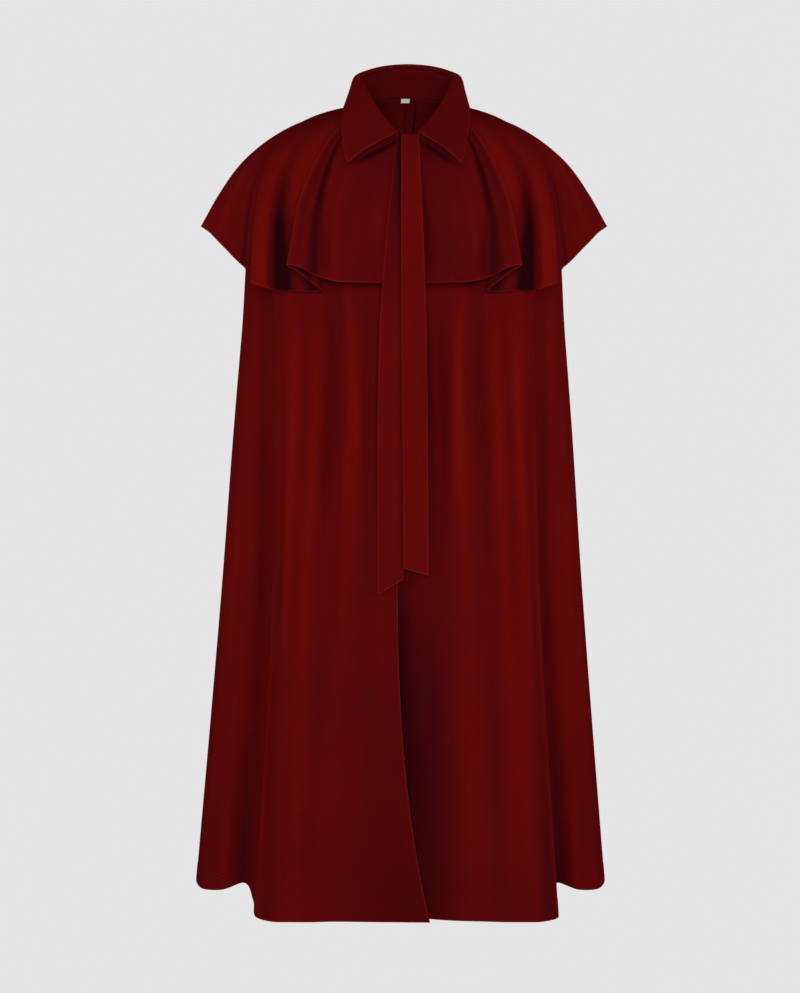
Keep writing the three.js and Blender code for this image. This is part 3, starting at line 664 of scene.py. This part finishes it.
# %% Capelet creases on the left, in the same columns
LEFT_CAPELET_CREASES = [
    ("front edge", 0.8, 0.85, 0.35, 0.9, 12, -0.9),
    ("flat", 0.45, 0.5, 0.3, 0.9, 9, 0.9),
    ("flat", 0.2, 0.35, 0.92, 1.1, 5, 1.7),
    ("flat", 0.4, 0.55, 0.94, 1.1, 5, -1.4),
    ("flat end", 0.4, 0.5, 0.4, 1.2, 6, -0.9),
    ("groove", 0.25, 0.05, 0.04, 0.8, 7, -3.2),
    ("flute edge", -0.1, 0, 0.04, 0.85, 6, 3),
    ("trough", 0.55, 0.5, 0.5, 1.2, 5, 1.2),
    ("wing root", 0.5, 0.45, 0.4, 1.1, 8, -1.3),
    ("wing", 0.35, 0.3, 0.45, 1.2, 9, 1.3),
    ("back wing", 0.5, 0.6, 0.4, 1.1, 10, -1.3),
    ("back side valley", 0.25, 0.35, 0.45, 1.2, 9, -1.4),
    ("back side flute", 0.55, 0.5, 0.35, 0.9, 8, 1.1),
    ("back valley", 0.25, 0.2, 0.35, 1.2, 9, -1.2),
    ("back flute", 0.6, 0.55, 0.5, 1.1, 9, 1.1),
]
CAPELET_CREASES = {RIGHT: RIGHT_CAPELET_CREASES, LEFT: LEFT_CAPELET_CREASES}
print(sum(map(len, CAPELET_CREASES.values())), "capelet creases")

# %% [markdown]
# Light hardly reaches the bottom of a deep flute, or the cloth just behind an edge that lies over it, so
# shade is painted into the colour there. The same kind of table marks those places. The last number is
# then how much painted shade darkens the colour, and below 0 it paints a highlight. A thin painted
# highlight also runs along the flutes' crests, as along the free edges.

# %% Painted shade: fold line, place at the top and the bottom, from and to, half width, how dark
PAINTED_SHADE_BODY_BOTH = [
    ("front valley", 0.05, 0.05, 180, 860, 12, -0.8),
    ("side valley", 0, 0.1, 300, 1400, 20, -0.4),
    ("lobe crest", 0, 0, 640, 1560, 42, 0.4),
]
PAINTED_SHADE_BODY = {
    RIGHT: PAINTED_SHADE_BODY_BOTH + [
        ("front flat", 0.2, 0.15, 240, 700, 12, -0.35),
        ("front valley", -0.6, -0.55, 180, 780, 8, 0.3),
        ("broad crest end", 0.2, 0.2, 640, 1560, 20, 0.6),
        ("front edge", 0.45, 0.45, 740, 1520, 38, 0.6),
    ],
    LEFT: PAINTED_SHADE_BODY_BOTH + [
        ("front edge", 0.7, 0.78, 240, 680, 10, 0.35),
        ("front valley", -0.6, -0.55, 180, 780, 8, 0.2),
        ("broad crest end", 0.5, 0.5, 640, 1560, 20, 0.85),
        ("front edge", 0.2, 0.4, 540, 1300, 36, 1.1),
        ("front edge", 0, 0, 520, 1000, 9, 0.6),
        ("centre valley", -0.56, 0.78, -30, 110, 4.5, 1.1),
    ],
}
PAINTED_SHADE_CAPELET_BOTH = [
    ("groove", 0.2, 0.55, -0.1, 1.6, 14, 0.55),
    ("groove", -0.25, -0.3, 0.25, 1.6, 8, -0.45),
    ("flute face", 0, 0.1, 0, 1.5, 11, 0.6),
    ("return", 0.5, 0.5, 0.5, 1.6, 13, 1.2),
    ("under layer", 0, 0, 0.6, 1.5, 11, 1.3),
    ("under layer end", 0.35, 0.35, 0.72, 1.55, 13, 0.8),
    ("trough", 0.55, -0.35, 0.42, 1.58, 15, 1.4),
    ("side layer", 0.3, 0.45, 0.2, 1.7, 13, -0.65),
    ("side layer", 0.6, 0.6, -0.45, 0.62, 85, 0.5),
    ("wing", 0.1, 0.3, 0.35, 1.6, 16, -0.35),
]
PAINTED_SHADE_CAPELET = {
    RIGHT: PAINTED_SHADE_CAPELET_BOTH + [
        ("front edge", 0.3, 2.1, -0.02, 0.37, 6, 1.4),
        ("flat", 0, 0, -0.6, 0.6, 60, 0.3),
        ("flat", 0.3, 0.3, 0.1, 1.7, 48, 0.15),
        ("under layer end", -0.4, -0.4, 0.12, 0.74, 42, -1.3),
        ("wing root", 0.1, 0.1, 0.4, 1.5, 7, 0.9),
    ],
    LEFT: PAINTED_SHADE_CAPELET_BOTH + [
        ("front edge", 0.5, 2.1, -0.03, 0.39, 6, 1.2),
        ("front edge", 0.6, 0.55, 0.05, 1.3, 5, 0.8),
        ("flat", 0, 0, -0.6, 0.6, 60, 0.35),
        ("flat", 0.3, 0.3, 0.1, 1.7, 48, 0.28),
        ("under layer end", -0.4, -0.4, 0.14, 0.72, 42, -1.2),
        ("wing root", 0.1, 0.1, 0.4, 1.5, 7, 0.8),
    ],
}

# %% Painted highlight in thin lines along crests of the capelet, in the same columns
PAINTED_CREST_HIGHLIGHT = [
    ("flute edge", -0.25, 0, -0.3, 1.2, 1.7, 1),
    ("flat", 0.92, 0.92, 0.3, 1, 1.6, 0.35),
]

# %% What a table of creases or marks adds up to
SWELL_POWER = 1.3


def soft_creases(creases, lines, knots, ts, vs):
    """How far the creases lift the cloth at every v and t."""
    lift = np.zeros((len(vs), len(ts)))
    for line, top, bottom, start, stop, width, depth in creases:
        s = np.clip((vs - start) / (stop - start), 0, 1)
        place = list(lines).index(line) + top + (bottom - top) * s
        middle = np.interp(place, np.arange(len(knots)), knots)
        swell = np.sin(np.pi * s) ** SWELL_POWER
        lift += depth * swell[:, None] * bell(ts - middle[:, None], width)
    return lift


print(len(PAINTED_SHADE_BODY_BOTH) + len(PAINTED_SHADE_CAPELET_BOTH), "deep rows are alike on both sides")

# %% [markdown]
# ## The body
#
# Two fronts and two backs. The wearer's right front crosses over below the ties, and the left front turns
# in behind it. Seams sink a little, because the stitching pulls the two layers together there. The hem is
# turned up once, so its band is a touch thicker than the cloth above it.

# %% Surface of the body
def body_surface(side, ts, drops):
    """Points of the body in millimetres, with the fronts' lap and tuck near the hem."""
    half = halves[side]["body"]
    points = half.at(ts, drops)
    near = np.maximum(0, 1 - ts / half.knots[FRONT_REACH])
    sway = FRONT_SWAY["by"] * bell(drops - FRONT_SWAY["drop"], FRONT_SWAY["length"])
    points[..., 0] += sway[:, None] * near ** FRONT_SWAY["spread"]
    low = np.maximum(0, (drops - LAP_DROP) / (HEM_DROP - LAP_DROP))[:, None]
    if side == RIGHT:
        share = low ** FRONT_LAP["late"] * near ** FRONT_LAP["spread"]
        points[..., 0] += FRONT_LAP["crossing"] * share
        points[..., 1] -= FRONT_LAP["forward"] * share
    else:
        points[..., 1] += FRONT_TUCK["inward"] * low ** FRONT_TUCK["late"] * near ** FRONT_TUCK["spread"]
        under = (1 + np.tanh((drops - FRONT_UNDER["from"]) / FRONT_UNDER["soft"]))[:, None] / 2
        points[..., 0] += FRONT_UNDER["across"] * under * near ** FRONT_UNDER["spread"]
        points[..., 1] += FRONT_UNDER["behind"] * under * near ** FRONT_UNDER["spread"]
    return points


# %% Seams, hem band and the shade inside the neck
SEAM_SINK = {"depth": 0.8, "width": 2.6}
HEM_BAND = {"height": 24, "lift": 0.45, "soft": 2.0}
NECK_SHADE = {"deep": 0.1, "to": 220, "fade": 60}


def seam_sink(distance):
    """How far the cloth sinks at a distance in millimetres from a seam."""
    return -SEAM_SINK["depth"] * bell(distance, SEAM_SINK["width"])


def hem_lift(distance):
    """How far the turned-up hem stands out at a distance in millimetres from the edge."""
    return HEM_BAND["lift"] * (1 - np.tanh((distance - HEM_BAND["height"]) / HEM_BAND["soft"])) / 2


# %% Fronts and backs of the body
STEP_ALONG = 3.4
STEP_DOWN = 4.6
ROWS_BY_BAND = np.array([-4, -2, -1, 0, 1, 2, 4])
WORDS = {RIGHT: "right", LEFT: "left"}
hem_rows = HEM_DROP - HEM_BAND["height"] + ROWS_BY_BAND
body_drops = np.unique(np.concatenate([places(0, HEM_DROP, STEP_DOWN), hem_rows]))


def along_half(half, step):
    """Places along half of the garment, and how many of them come before its seam."""
    fronts = places(0, half.seam, step)
    return np.concatenate([fronts, places(half.seam, half.end, step)]), len(fronts)


def lay_half(names, grid, side, lift, deep, painted_highlight, split):
    """Two pieces of cloth, before and behind the seam at column split, from one creased grid."""
    grid = grid + outward(grid, -side) * lift[..., None]
    # Painted shade for the colour: the grid's hollowness plus the listed marks of painted shade and
    # highlight.
    hollow = hollowness(grid, -side) + deep
    parts = (slice(0, split), slice(split, None))
    edges = (["first", "bottom"], ["bottom"])
    for name, part, free in zip(names, parts, edges):
        colour = {"hollow": hollow[:, part], "painted_highlight": painted_highlight[:, part]}
        lay_cloth(name, grid[:, part], -side, CLOTH, free=free, **colour)
    print(" and ".join(names), "on", grid.shape[0], "by", grid.shape[1], "points")


for side, word in WORDS.items():
    half = halves[side]["body"]
    ts, split = along_half(half, STEP_ALONG)
    lift = soft_creases(BODY_CREASES[side], BODY_FOLDS, half.knots, ts, body_drops)
    lift += seam_sink(ts - half.seam) + seam_sink(half.end - ts)
    lift += hem_lift(HEM_DROP - body_drops)[:, None]
    # Painted shade and painted highlights for the colour, and painted shade inside the neck.
    deep = soft_creases(PAINTED_SHADE_BODY[side], BODY_FOLDS, half.knots, ts, body_drops)
    fade = np.clip((NECK_SHADE["to"] - body_drops) / NECK_SHADE["fade"], 0, 1)
    deep += NECK_SHADE["deep"] * fade[:, None]
    names = (f"cape_front_{word}", f"cape_back_{word}")
    lay_half(names, body_surface(side, ts, body_drops), side, lift, deep, 0 * deep, split)

# %% [markdown]
# ## The capelet
#
# It is cut like half a circle, which is why its hem is far longer than its neck edge and falls in flutes.

# %% Capelet fronts and backs
CAPELET_STEP = 3.0
CAPELET_LENGTH = 250
ROWS_ABOVE_HEM = np.array([16, 14, 13, 12, 10])
SHOULDER_SEAM_SINK = 0.5
SINK_FADES_IN = 0.25
even_rows = places(0, 1, step=0.014, edge=0.004)
capelet_shares = np.unique(np.concatenate([even_rows, 1 - ROWS_ABOVE_HEM / CAPELET_LENGTH]))

for side, word in WORDS.items():
    half = halves[side]["capelet"]
    ts, split = along_half(half, CAPELET_STEP)
    lines = (CAPELET_FOLDS, half.knots, ts, capelet_shares)
    lift = soft_creases(CAPELET_CREASES[side], *lines)
    sink = SHOULDER_SEAM_SINK * seam_sink(ts - half.seam) + seam_sink(half.end - ts)
    lift += sink * np.minimum(1, capelet_shares[:, None] / SINK_FADES_IN)
    # Painted shade and highlights for the colour, and thin painted highlights along crests.
    deep = soft_creases(PAINTED_SHADE_CAPELET[side], *lines)
    painted_highlight = soft_creases(PAINTED_CREST_HIGHLIGHT, *lines)
    names = (f"capelet_front_cloth_{word}", f"capelet_back_cloth_{word}")
    lay_half(names, half.at(ts, capelet_shares), side, lift, deep, painted_highlight, split)

# %% [markdown]
# ## The collar
#
# The collar is one folded shape: a stand that rises from the neck seam, and a leaf that rolls over its top
# and falls to two points at the front. Going round the neck is measured in degrees from the middle of the
# back.

# %% Stand and leaf
COLLAR_TURN = 180 - collar["angle"][0]
UP = np.array([0, 0, 1])


def round_neck(turns):
    """For each turn its side, its angle from the front, the collar's sizes there and the way outwards."""
    side = np.where(turns < 0, RIGHT, LEFT)
    angle = 180 - np.abs(turns)
    size = {name: curve_at(collar["angle"], collar[name], angle) for name in COLLAR_COLUMNS[1:]}
    ahead = form_point(side, np.minimum(angle + 2, 180), 0)
    behind = form_point(side, np.maximum(angle - 2, 0), 0)
    along = ahead - behind
    away = unit(np.stack([side * along[:, 1], -side * along[:, 0], 0 * along[:, 0]], -1))
    return side, angle, size, away


def stand_points(turns, rises):
    """The collar's stand, from the neck seam up to its roll."""
    side, angle, size, away = round_neck(turns)
    rise = np.asarray(rises)[:, None, None]
    lean = away * size["lean"][:, None]
    up = (2 * SEAM_GAP + (size["stand"][:, None] - 2 * SEAM_GAP) * rise) * UP
    return form_point(side, angle, 0) + lean * rise + up


def leaf_points(turns, reaches):
    """The underside of the collar's leaf, from its roll to its edge."""
    side, angle, size, away = round_neck(turns)
    top = stand_points(turns, [1])[0] + UP * 2 * SEAM_GAP
    stops = np.radians(ROLL_STOPS)[:, None]
    out = -COLLAR_CLOTH + size["roll"] * (1 - np.cos(stops))
    roll = top + away * out[..., None] + UP * (size["roll"] * np.sin(stops))[..., None]
    edge = off_body(side, size["leaf_angle"], size["leaf_drop"], size["lift"][:, None])
    halfway = (angle + size["leaf_angle"]) / 2
    middle_normal = form_normal(side, halfway, np.maximum(size["leaf_drop"] / 2, 10))
    middle = roll[-1] + (edge - roll[-1]) * LEAF_MIDDLE + middle_normal * size["bulge"][:, None]
    return curve_at(LEAF_KNOTS, np.concatenate([roll, middle[None], edge[None]]), reaches)


# %% Collar cloth, with painted shade inside, on the left and along the seam at the back
COLLAR_SHADE = {"stand": 0.3, "leaf": 0.09, "left": 0.07, "left_from": 30}
LEAF_SEAM_SHADE = {"deep": 0.9, "width": 0.9}
ALL_FREE = ["first", "last", "bottom"]

turns = places(-COLLAR_TURN, COLLAR_TURN, step=1.1, edge=0.15)
stand_rises = places(0, 1, step=0.06, edge=0.01)
stand_grid = stand_points(turns, stand_rises)
shade = np.full(stand_grid.shape[:2], COLLAR_SHADE["stand"])
lay_cloth("collar_stand_cloth", stand_grid, -1, COLLAR_CLOTH, hollow=shade)

leaf_reaches = places(0, 1, step=0.018, edge=0.004)
leaf_grid = leaf_points(turns, leaf_reaches)
# Painted shade along the leaf's seam at the back.
leaf_seam_shade = LEAF_SEAM_SHADE["deep"] * bell(turns, LEAF_SEAM_SHADE["width"])
to_left = np.tanh(turns / COLLAR_SHADE["left_from"])
shade = hollowness(leaf_grid, 1) + leaf_seam_shade + COLLAR_SHADE["leaf"] + COLLAR_SHADE["left"] * to_left
lay_cloth("collar_leaf_cloth", leaf_grid, 1, COLLAR_CLOTH, grow=1, hollow=shade, free=ALL_FREE)
print("leaf", len(turns), "by", len(leaf_reaches), "points")

# %% [markdown]
# ## Ties and label
#
# Two flat bands hang from the neck. Each is a strip folded lengthwise and turned, so its edges are soft
# folds and its lower end is cut aslant. Only its front face is worked out here, from a line that runs down
# over the capelet and the front, and Solidify adds the back.

# %% Places on a tie
def tie_points(tie, across, down):
    """The front face of a tie; across runs from -1 to 1, and down from 0 at the neck to 1 at its end."""
    across = np.asarray(across)[None, :]
    widths = [TIE_TOP["width"], tie["width"] - 1, tie["width"]]
    width = curve_at(TIE_KNOTS, widths, down)[:, None]
    x = curve_at(TIE_KNOTS, tie["x"], down)[:, None] + across * width / 2
    z = TIE_TOP["z"] + (tie["end_z"] - tie["slant"] * across - TIE_TOP["z"]) * down[:, None]
    line = curve_at(-TIE_LINE_Z, TIE_LINE_Y, -z.ravel()).reshape(z.shape)
    slope = curve_at(-TIE_LINE_Z, TIE_LINE_Y, -z.ravel() + 1).reshape(z.shape) - line
    away = unit(np.stack([0 * slope, -1 + 0 * slope, -slope], -1))
    return np.stack([x, line, z], -1) + away * tie["lift"]


# %% Tie bands: painted shade on the under one at its top, a painted shadow beside the upper one's edge, and a painted highlight on the upper one
TIE_COLUMNS = 33
# Below 0 this paints the upper tie lighter; the under tie's values paint shade and a shadow.
UPPER_TIE_HIGHLIGHT = -0.25
UNDER_SHADE = {"all": -0.1, "top": 1.0, "top_length": 0.27, "edge": 0.5, "edge_top": 0.4, "edge_width": 3.2}

tie_across = np.sin(np.linspace(-np.pi / 2, np.pi / 2, TIE_COLUMNS))
tie_down = places(0, 1, step=0.005, edge=0.0006)
tie_grids = {name: tie_points(tie, tie_across, tie_down) for name, tie in TIES.items()}
upper_edge = tie_grids["tie_left"][:, :1, 0]
beside = tie_grids["tie_right"][..., 0] - upper_edge
near_top = bell(tie_down, UNDER_SHADE["top_length"])[:, None]
near_edge = bell(beside, UNDER_SHADE["edge_width"])
edge_shadow = UNDER_SHADE["edge"] + UNDER_SHADE["edge_top"] * near_top
shades = {
    "tie_left": np.full(beside.shape, UPPER_TIE_HIGHLIGHT),
    "tie_right": UNDER_SHADE["all"] + UNDER_SHADE["top"] * near_top + edge_shadow * near_edge,
}
for name, grid in tie_grids.items():
    piece = lay_cloth(name + "_band", grid, -1, TIE_CLOTH, hollow=shades[name], free=ALL_FREE)
    print(piece.name, grid.shape[:2], "points")

# %% [markdown]
# The label is a short bare tape inside the back, just below the neck seam. It is a grid like the others,
# laid a little inside the back's own centre line, so that it follows the slope of the back.

# %% Label
label_x = places(-LABEL["width"] / 2, LABEL["width"] / 2, step=1, edge=0.2)
label_drops = places(LABEL["top"], LABEL["top"] + LABEL["height"], step=1, edge=0.2)
centre_back = halves[LEFT]["body"].at(np.array([halves[LEFT]["body"].end]), label_drops)
back_angle = np.full(len(label_drops), 180.0)
inwards = -form_normal(LEFT, back_angle, label_drops)[:, None]
label_grid = centre_back + inwards * (CLOTH + LABEL["clear"]) + np.zeros((1, len(label_x), 3))
label_grid[..., 0] += LABEL["x"] + label_x
lay_cloth("label_tape", label_grid, -1, LABEL["cloth"], grow=1)
print("label", LABEL["width"], "by", LABEL["height"], "mm")

# %% [markdown]
# ## Materials
#
# The cloth is a fine wool crepe in dark red. Three things make it read as that: a base red with no white
# reflection on it, a painted highlight of a touch more orange on the crests and painted shade of more
# purple in the folds, and a weave of tiny ribs that cross on both diagonals, so that they break into dots.
# All of it is built from shader nodes, so this helper opens a new material's node tree.

# %% A material and its nodes
def nodes_of(material):
    """A new material's Principled shader, a helper that adds and sets a node, and one that links two."""
    material.use_nodes = True
    tree = material.node_tree

    def add(kind, **settings):
        node = tree.nodes.new(kind)
        for key, value in settings.items():
            if key in node.inputs:
                node.inputs[key].default_value = value
            else:
                setattr(node, key, value)
        return node

    return tree.nodes["Principled BSDF"], add, tree.links.new


wool = bpy.data.materials.new("wool_crepe")
shader, add, link = nodes_of(wool)
print("new material", wool.name)

# %% [markdown]
# The ribs are two wave textures, turned to the two diagonals and multiplied. They follow the UV map, so
# they keep their size and run with the cloth. A fine noise breaks them up as loose fibres do, and both
# together make the bump.

# %% Weave of the wool
RIB_PITCH = 0.0022
RIB_TURNS = (47, -47)
FIBRE_SHARE = 0.35
FIBRE_SCALE = 1500

uv = add("ShaderNodeUVMap", uv_map="cloth")
rib_heights = []
for turn in RIB_TURNS:
    turned = add("ShaderNodeMapping", Rotation=(0, 0, math.radians(turn)))
    link(uv.outputs["UV"], turned.inputs["Vector"])
    ribs = add("ShaderNodeTexWave", wave_type="BANDS", bands_direction="X")
    set_inputs(ribs, {"Scale": math.pi / 10 / RIB_PITCH, "Distortion": 0.8, "Detail": 2, "Detail Scale": 2})
    link(turned.outputs["Vector"], ribs.inputs["Vector"])
    rib_heights.append(ribs.outputs["Fac"])
crossed = add("ShaderNodeMath", operation="MULTIPLY")
link(rib_heights[0], crossed.inputs[0])
link(rib_heights[1], crossed.inputs[1])
fibre = add("ShaderNodeTexNoise", Scale=FIBRE_SCALE, Detail=3)
link(uv.outputs["UV"], fibre.inputs["Vector"])
blend = add("ShaderNodeMix", data_type="FLOAT")
blend.inputs[0].default_value = FIBRE_SHARE
link(crossed.outputs[0], blend.inputs[2])
link(fibre.outputs["Fac"], blend.inputs[3])
bump = add("ShaderNodeBump", Strength=0.6, Distance=0.0004)
link(blend.outputs[0], bump.inputs["Height"])
link(bump.outputs["Normal"], shader.inputs["Normal"])
print("ribs every", RIB_PITCH * 1000, "mm")

# %% [markdown]
# The colour starts from a cloudy mix of two reds, because dyed wool is never quite even. The attributes
# that each sheet carries then paint light and shade into it: a highlight on the crests, shade in the
# hollows, and a highlight along free edges and crests. Last the weave darkens its gaps.

# %% Colour of the wool, with painted shade and painted highlights
# The crest colour is a painted highlight, the hollow colour painted shade and the edge colour a painted
# highlight; the two middle reds and the weave are the wool's own.
WOOL_CREST_HIGHLIGHT = (0.150, 0.0044, 0.0032, 1)
WOOL_RED = (0.118, 0.0033, 0.0036, 1)
WOOL_DEEP = (0.096, 0.0028, 0.0040, 1)
WOOL_HOLLOW_SHADE = (0.026, 0.0022, 0.0036, 1)
WOOL_EDGE_HIGHLIGHT = (0.200, 0.0090, 0.0080, 1)
WEAVE_GAP = (0.80, 0.80, 0.84, 1)
WEAVE_TOP = (1.14, 1.14, 1.10, 1)
CLOUD_SCALE = 9


def stretch(source, low, high):
    """A node that turns values from low to high into 0 to 1."""
    node = add("ShaderNodeMapRange")
    set_inputs(node, {"From Min": low, "From Max": high})
    link(source, node.inputs["Value"])
    return node.outputs["Result"]


def mixed(share, first, second):
    """A node that mixes two colours or colour outputs."""
    node = add("ShaderNodeMix", data_type="RGBA")
    link(share, node.inputs["Factor"])
    for socket, value in ((node.inputs[6], first), (node.inputs[7], second)):
        if isinstance(value, tuple):
            socket.default_value = value
        else:
            link(value, socket)
    return node.outputs[2]


cloudy = add("ShaderNodeTexNoise", Scale=CLOUD_SCALE, Detail=3)
place = add("ShaderNodeTexCoord")
link(place.outputs["Object"], cloudy.inputs["Vector"])
depth = add("ShaderNodeAttribute", attribute_name="hollow")
edge = add("ShaderNodeAttribute", attribute_name="edge")
tint = WOOL_DEEP
# The hollow attribute paints a highlight on crests and shade in folds; the edge attribute paints a
# highlight along free edges and crests.
for source, low, high, colour in (
    (cloudy, 0.28, 0.66, WOOL_RED),
    (depth, 0, -0.8, WOOL_CREST_HIGHLIGHT),
    (depth, 0, 1.3, WOOL_HOLLOW_SHADE),
    (edge, 0, 2, WOOL_EDGE_HIGHLIGHT),
):
    tint = mixed(stretch(source.outputs["Fac"], low, high), tint, colour)
woven = add("ShaderNodeMix", data_type="RGBA", blend_type="MULTIPLY", Factor=1)
link(tint, woven.inputs[6])
link(mixed(stretch(crossed.outputs[0], 0.0, 0.7), WEAVE_GAP, WEAVE_TOP), woven.inputs[7])
link(woven.outputs[2], shader.inputs["Base Color"])
print("red from", WOOL_HOLLOW_SHADE[0], "in folds to", WOOL_EDGE_HIGHLIGHT[0], "on edges")

# %% Finish of the wool
SHEEN = 0.06
WOOL_SHINE = (0.9, 0.03, 0.03, 1)

set_inputs(shader, {"Roughness": 0.6, "Specular IOR Level": 0})
set_inputs(shader, {"Sheen Weight": SHEEN, "Sheen Roughness": 0.5, "Sheen Tint": WOOL_SHINE})
print("sheen of", SHEEN)

# %% [markdown]
# The tape is a plain pale weave with threads across it, fine enough for one wave texture.

# %% Label tape
tape = bpy.data.materials.new("label_tape")
shader, add, link = nodes_of(tape)
uv = add("ShaderNodeUVMap", uv_map="cloth")
threads = add("ShaderNodeTexWave", wave_type="BANDS", bands_direction="Y", Scale=400)
link(uv.outputs["UV"], threads.inputs["Vector"])
bump = add("ShaderNodeBump", Strength=0.4, Distance=0.0002)
link(threads.outputs["Fac"], bump.inputs["Height"])
link(bump.outputs["Normal"], shader.inputs["Normal"])
set_inputs(shader, {"Base Color": (0.85, 0.83, 0.80, 1), "Roughness": 0.7})
print("materials:", wool.name, tape.name)

# %% [markdown]
# ## Joining the pieces to the rigid model
#
# Every piece stands for its rigid one, hangs on the same body and takes the wool.

# %% Which rigid piece each stands for, and its cut
CUTS = {
    "cape_front_right": ("body_front_right", (0.50, 1.18), 0.392),
    "cape_front_left": ("body_front_left", (0.49, 1.17), 0.400),
    "cape_back_right": ("body_back_right", (0.41, 1.18), 0.341),
    "cape_back_left": ("body_back_left", (0.41, 1.17), 0.340),
    "capelet_front_cloth_right": ("capelet_front_right", (0.53, 0.35), 0.086),
    "capelet_front_cloth_left": ("capelet_front_left", (0.53, 0.34), 0.085),
    "capelet_back_cloth_right": ("capelet_back_right", (0.39, 0.34), 0.081),
    "capelet_back_cloth_left": ("capelet_back_left", (0.39, 0.33), 0.080),
    "collar_stand_cloth": ("collar_stand", (0.48, 0.042), 0.0132),
    "collar_leaf_cloth": ("collar_leaf", (0.56, 0.10), 0.0326),
    "tie_left_band": ("tie_left", (0.033, 0.61), 0.0190),
    "tie_right_band": ("tie_right", (0.035, 0.64), 0.0205),
}

for name, (node, flat, area) in CUTS.items():
    piece = pieces[name]
    piece.data.materials.append(wool)
    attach(piece, "root")
    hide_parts(node)

label = pieces["label_tape"]
label.data.materials.append(tape)
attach(label, "root")
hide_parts("neck_label")
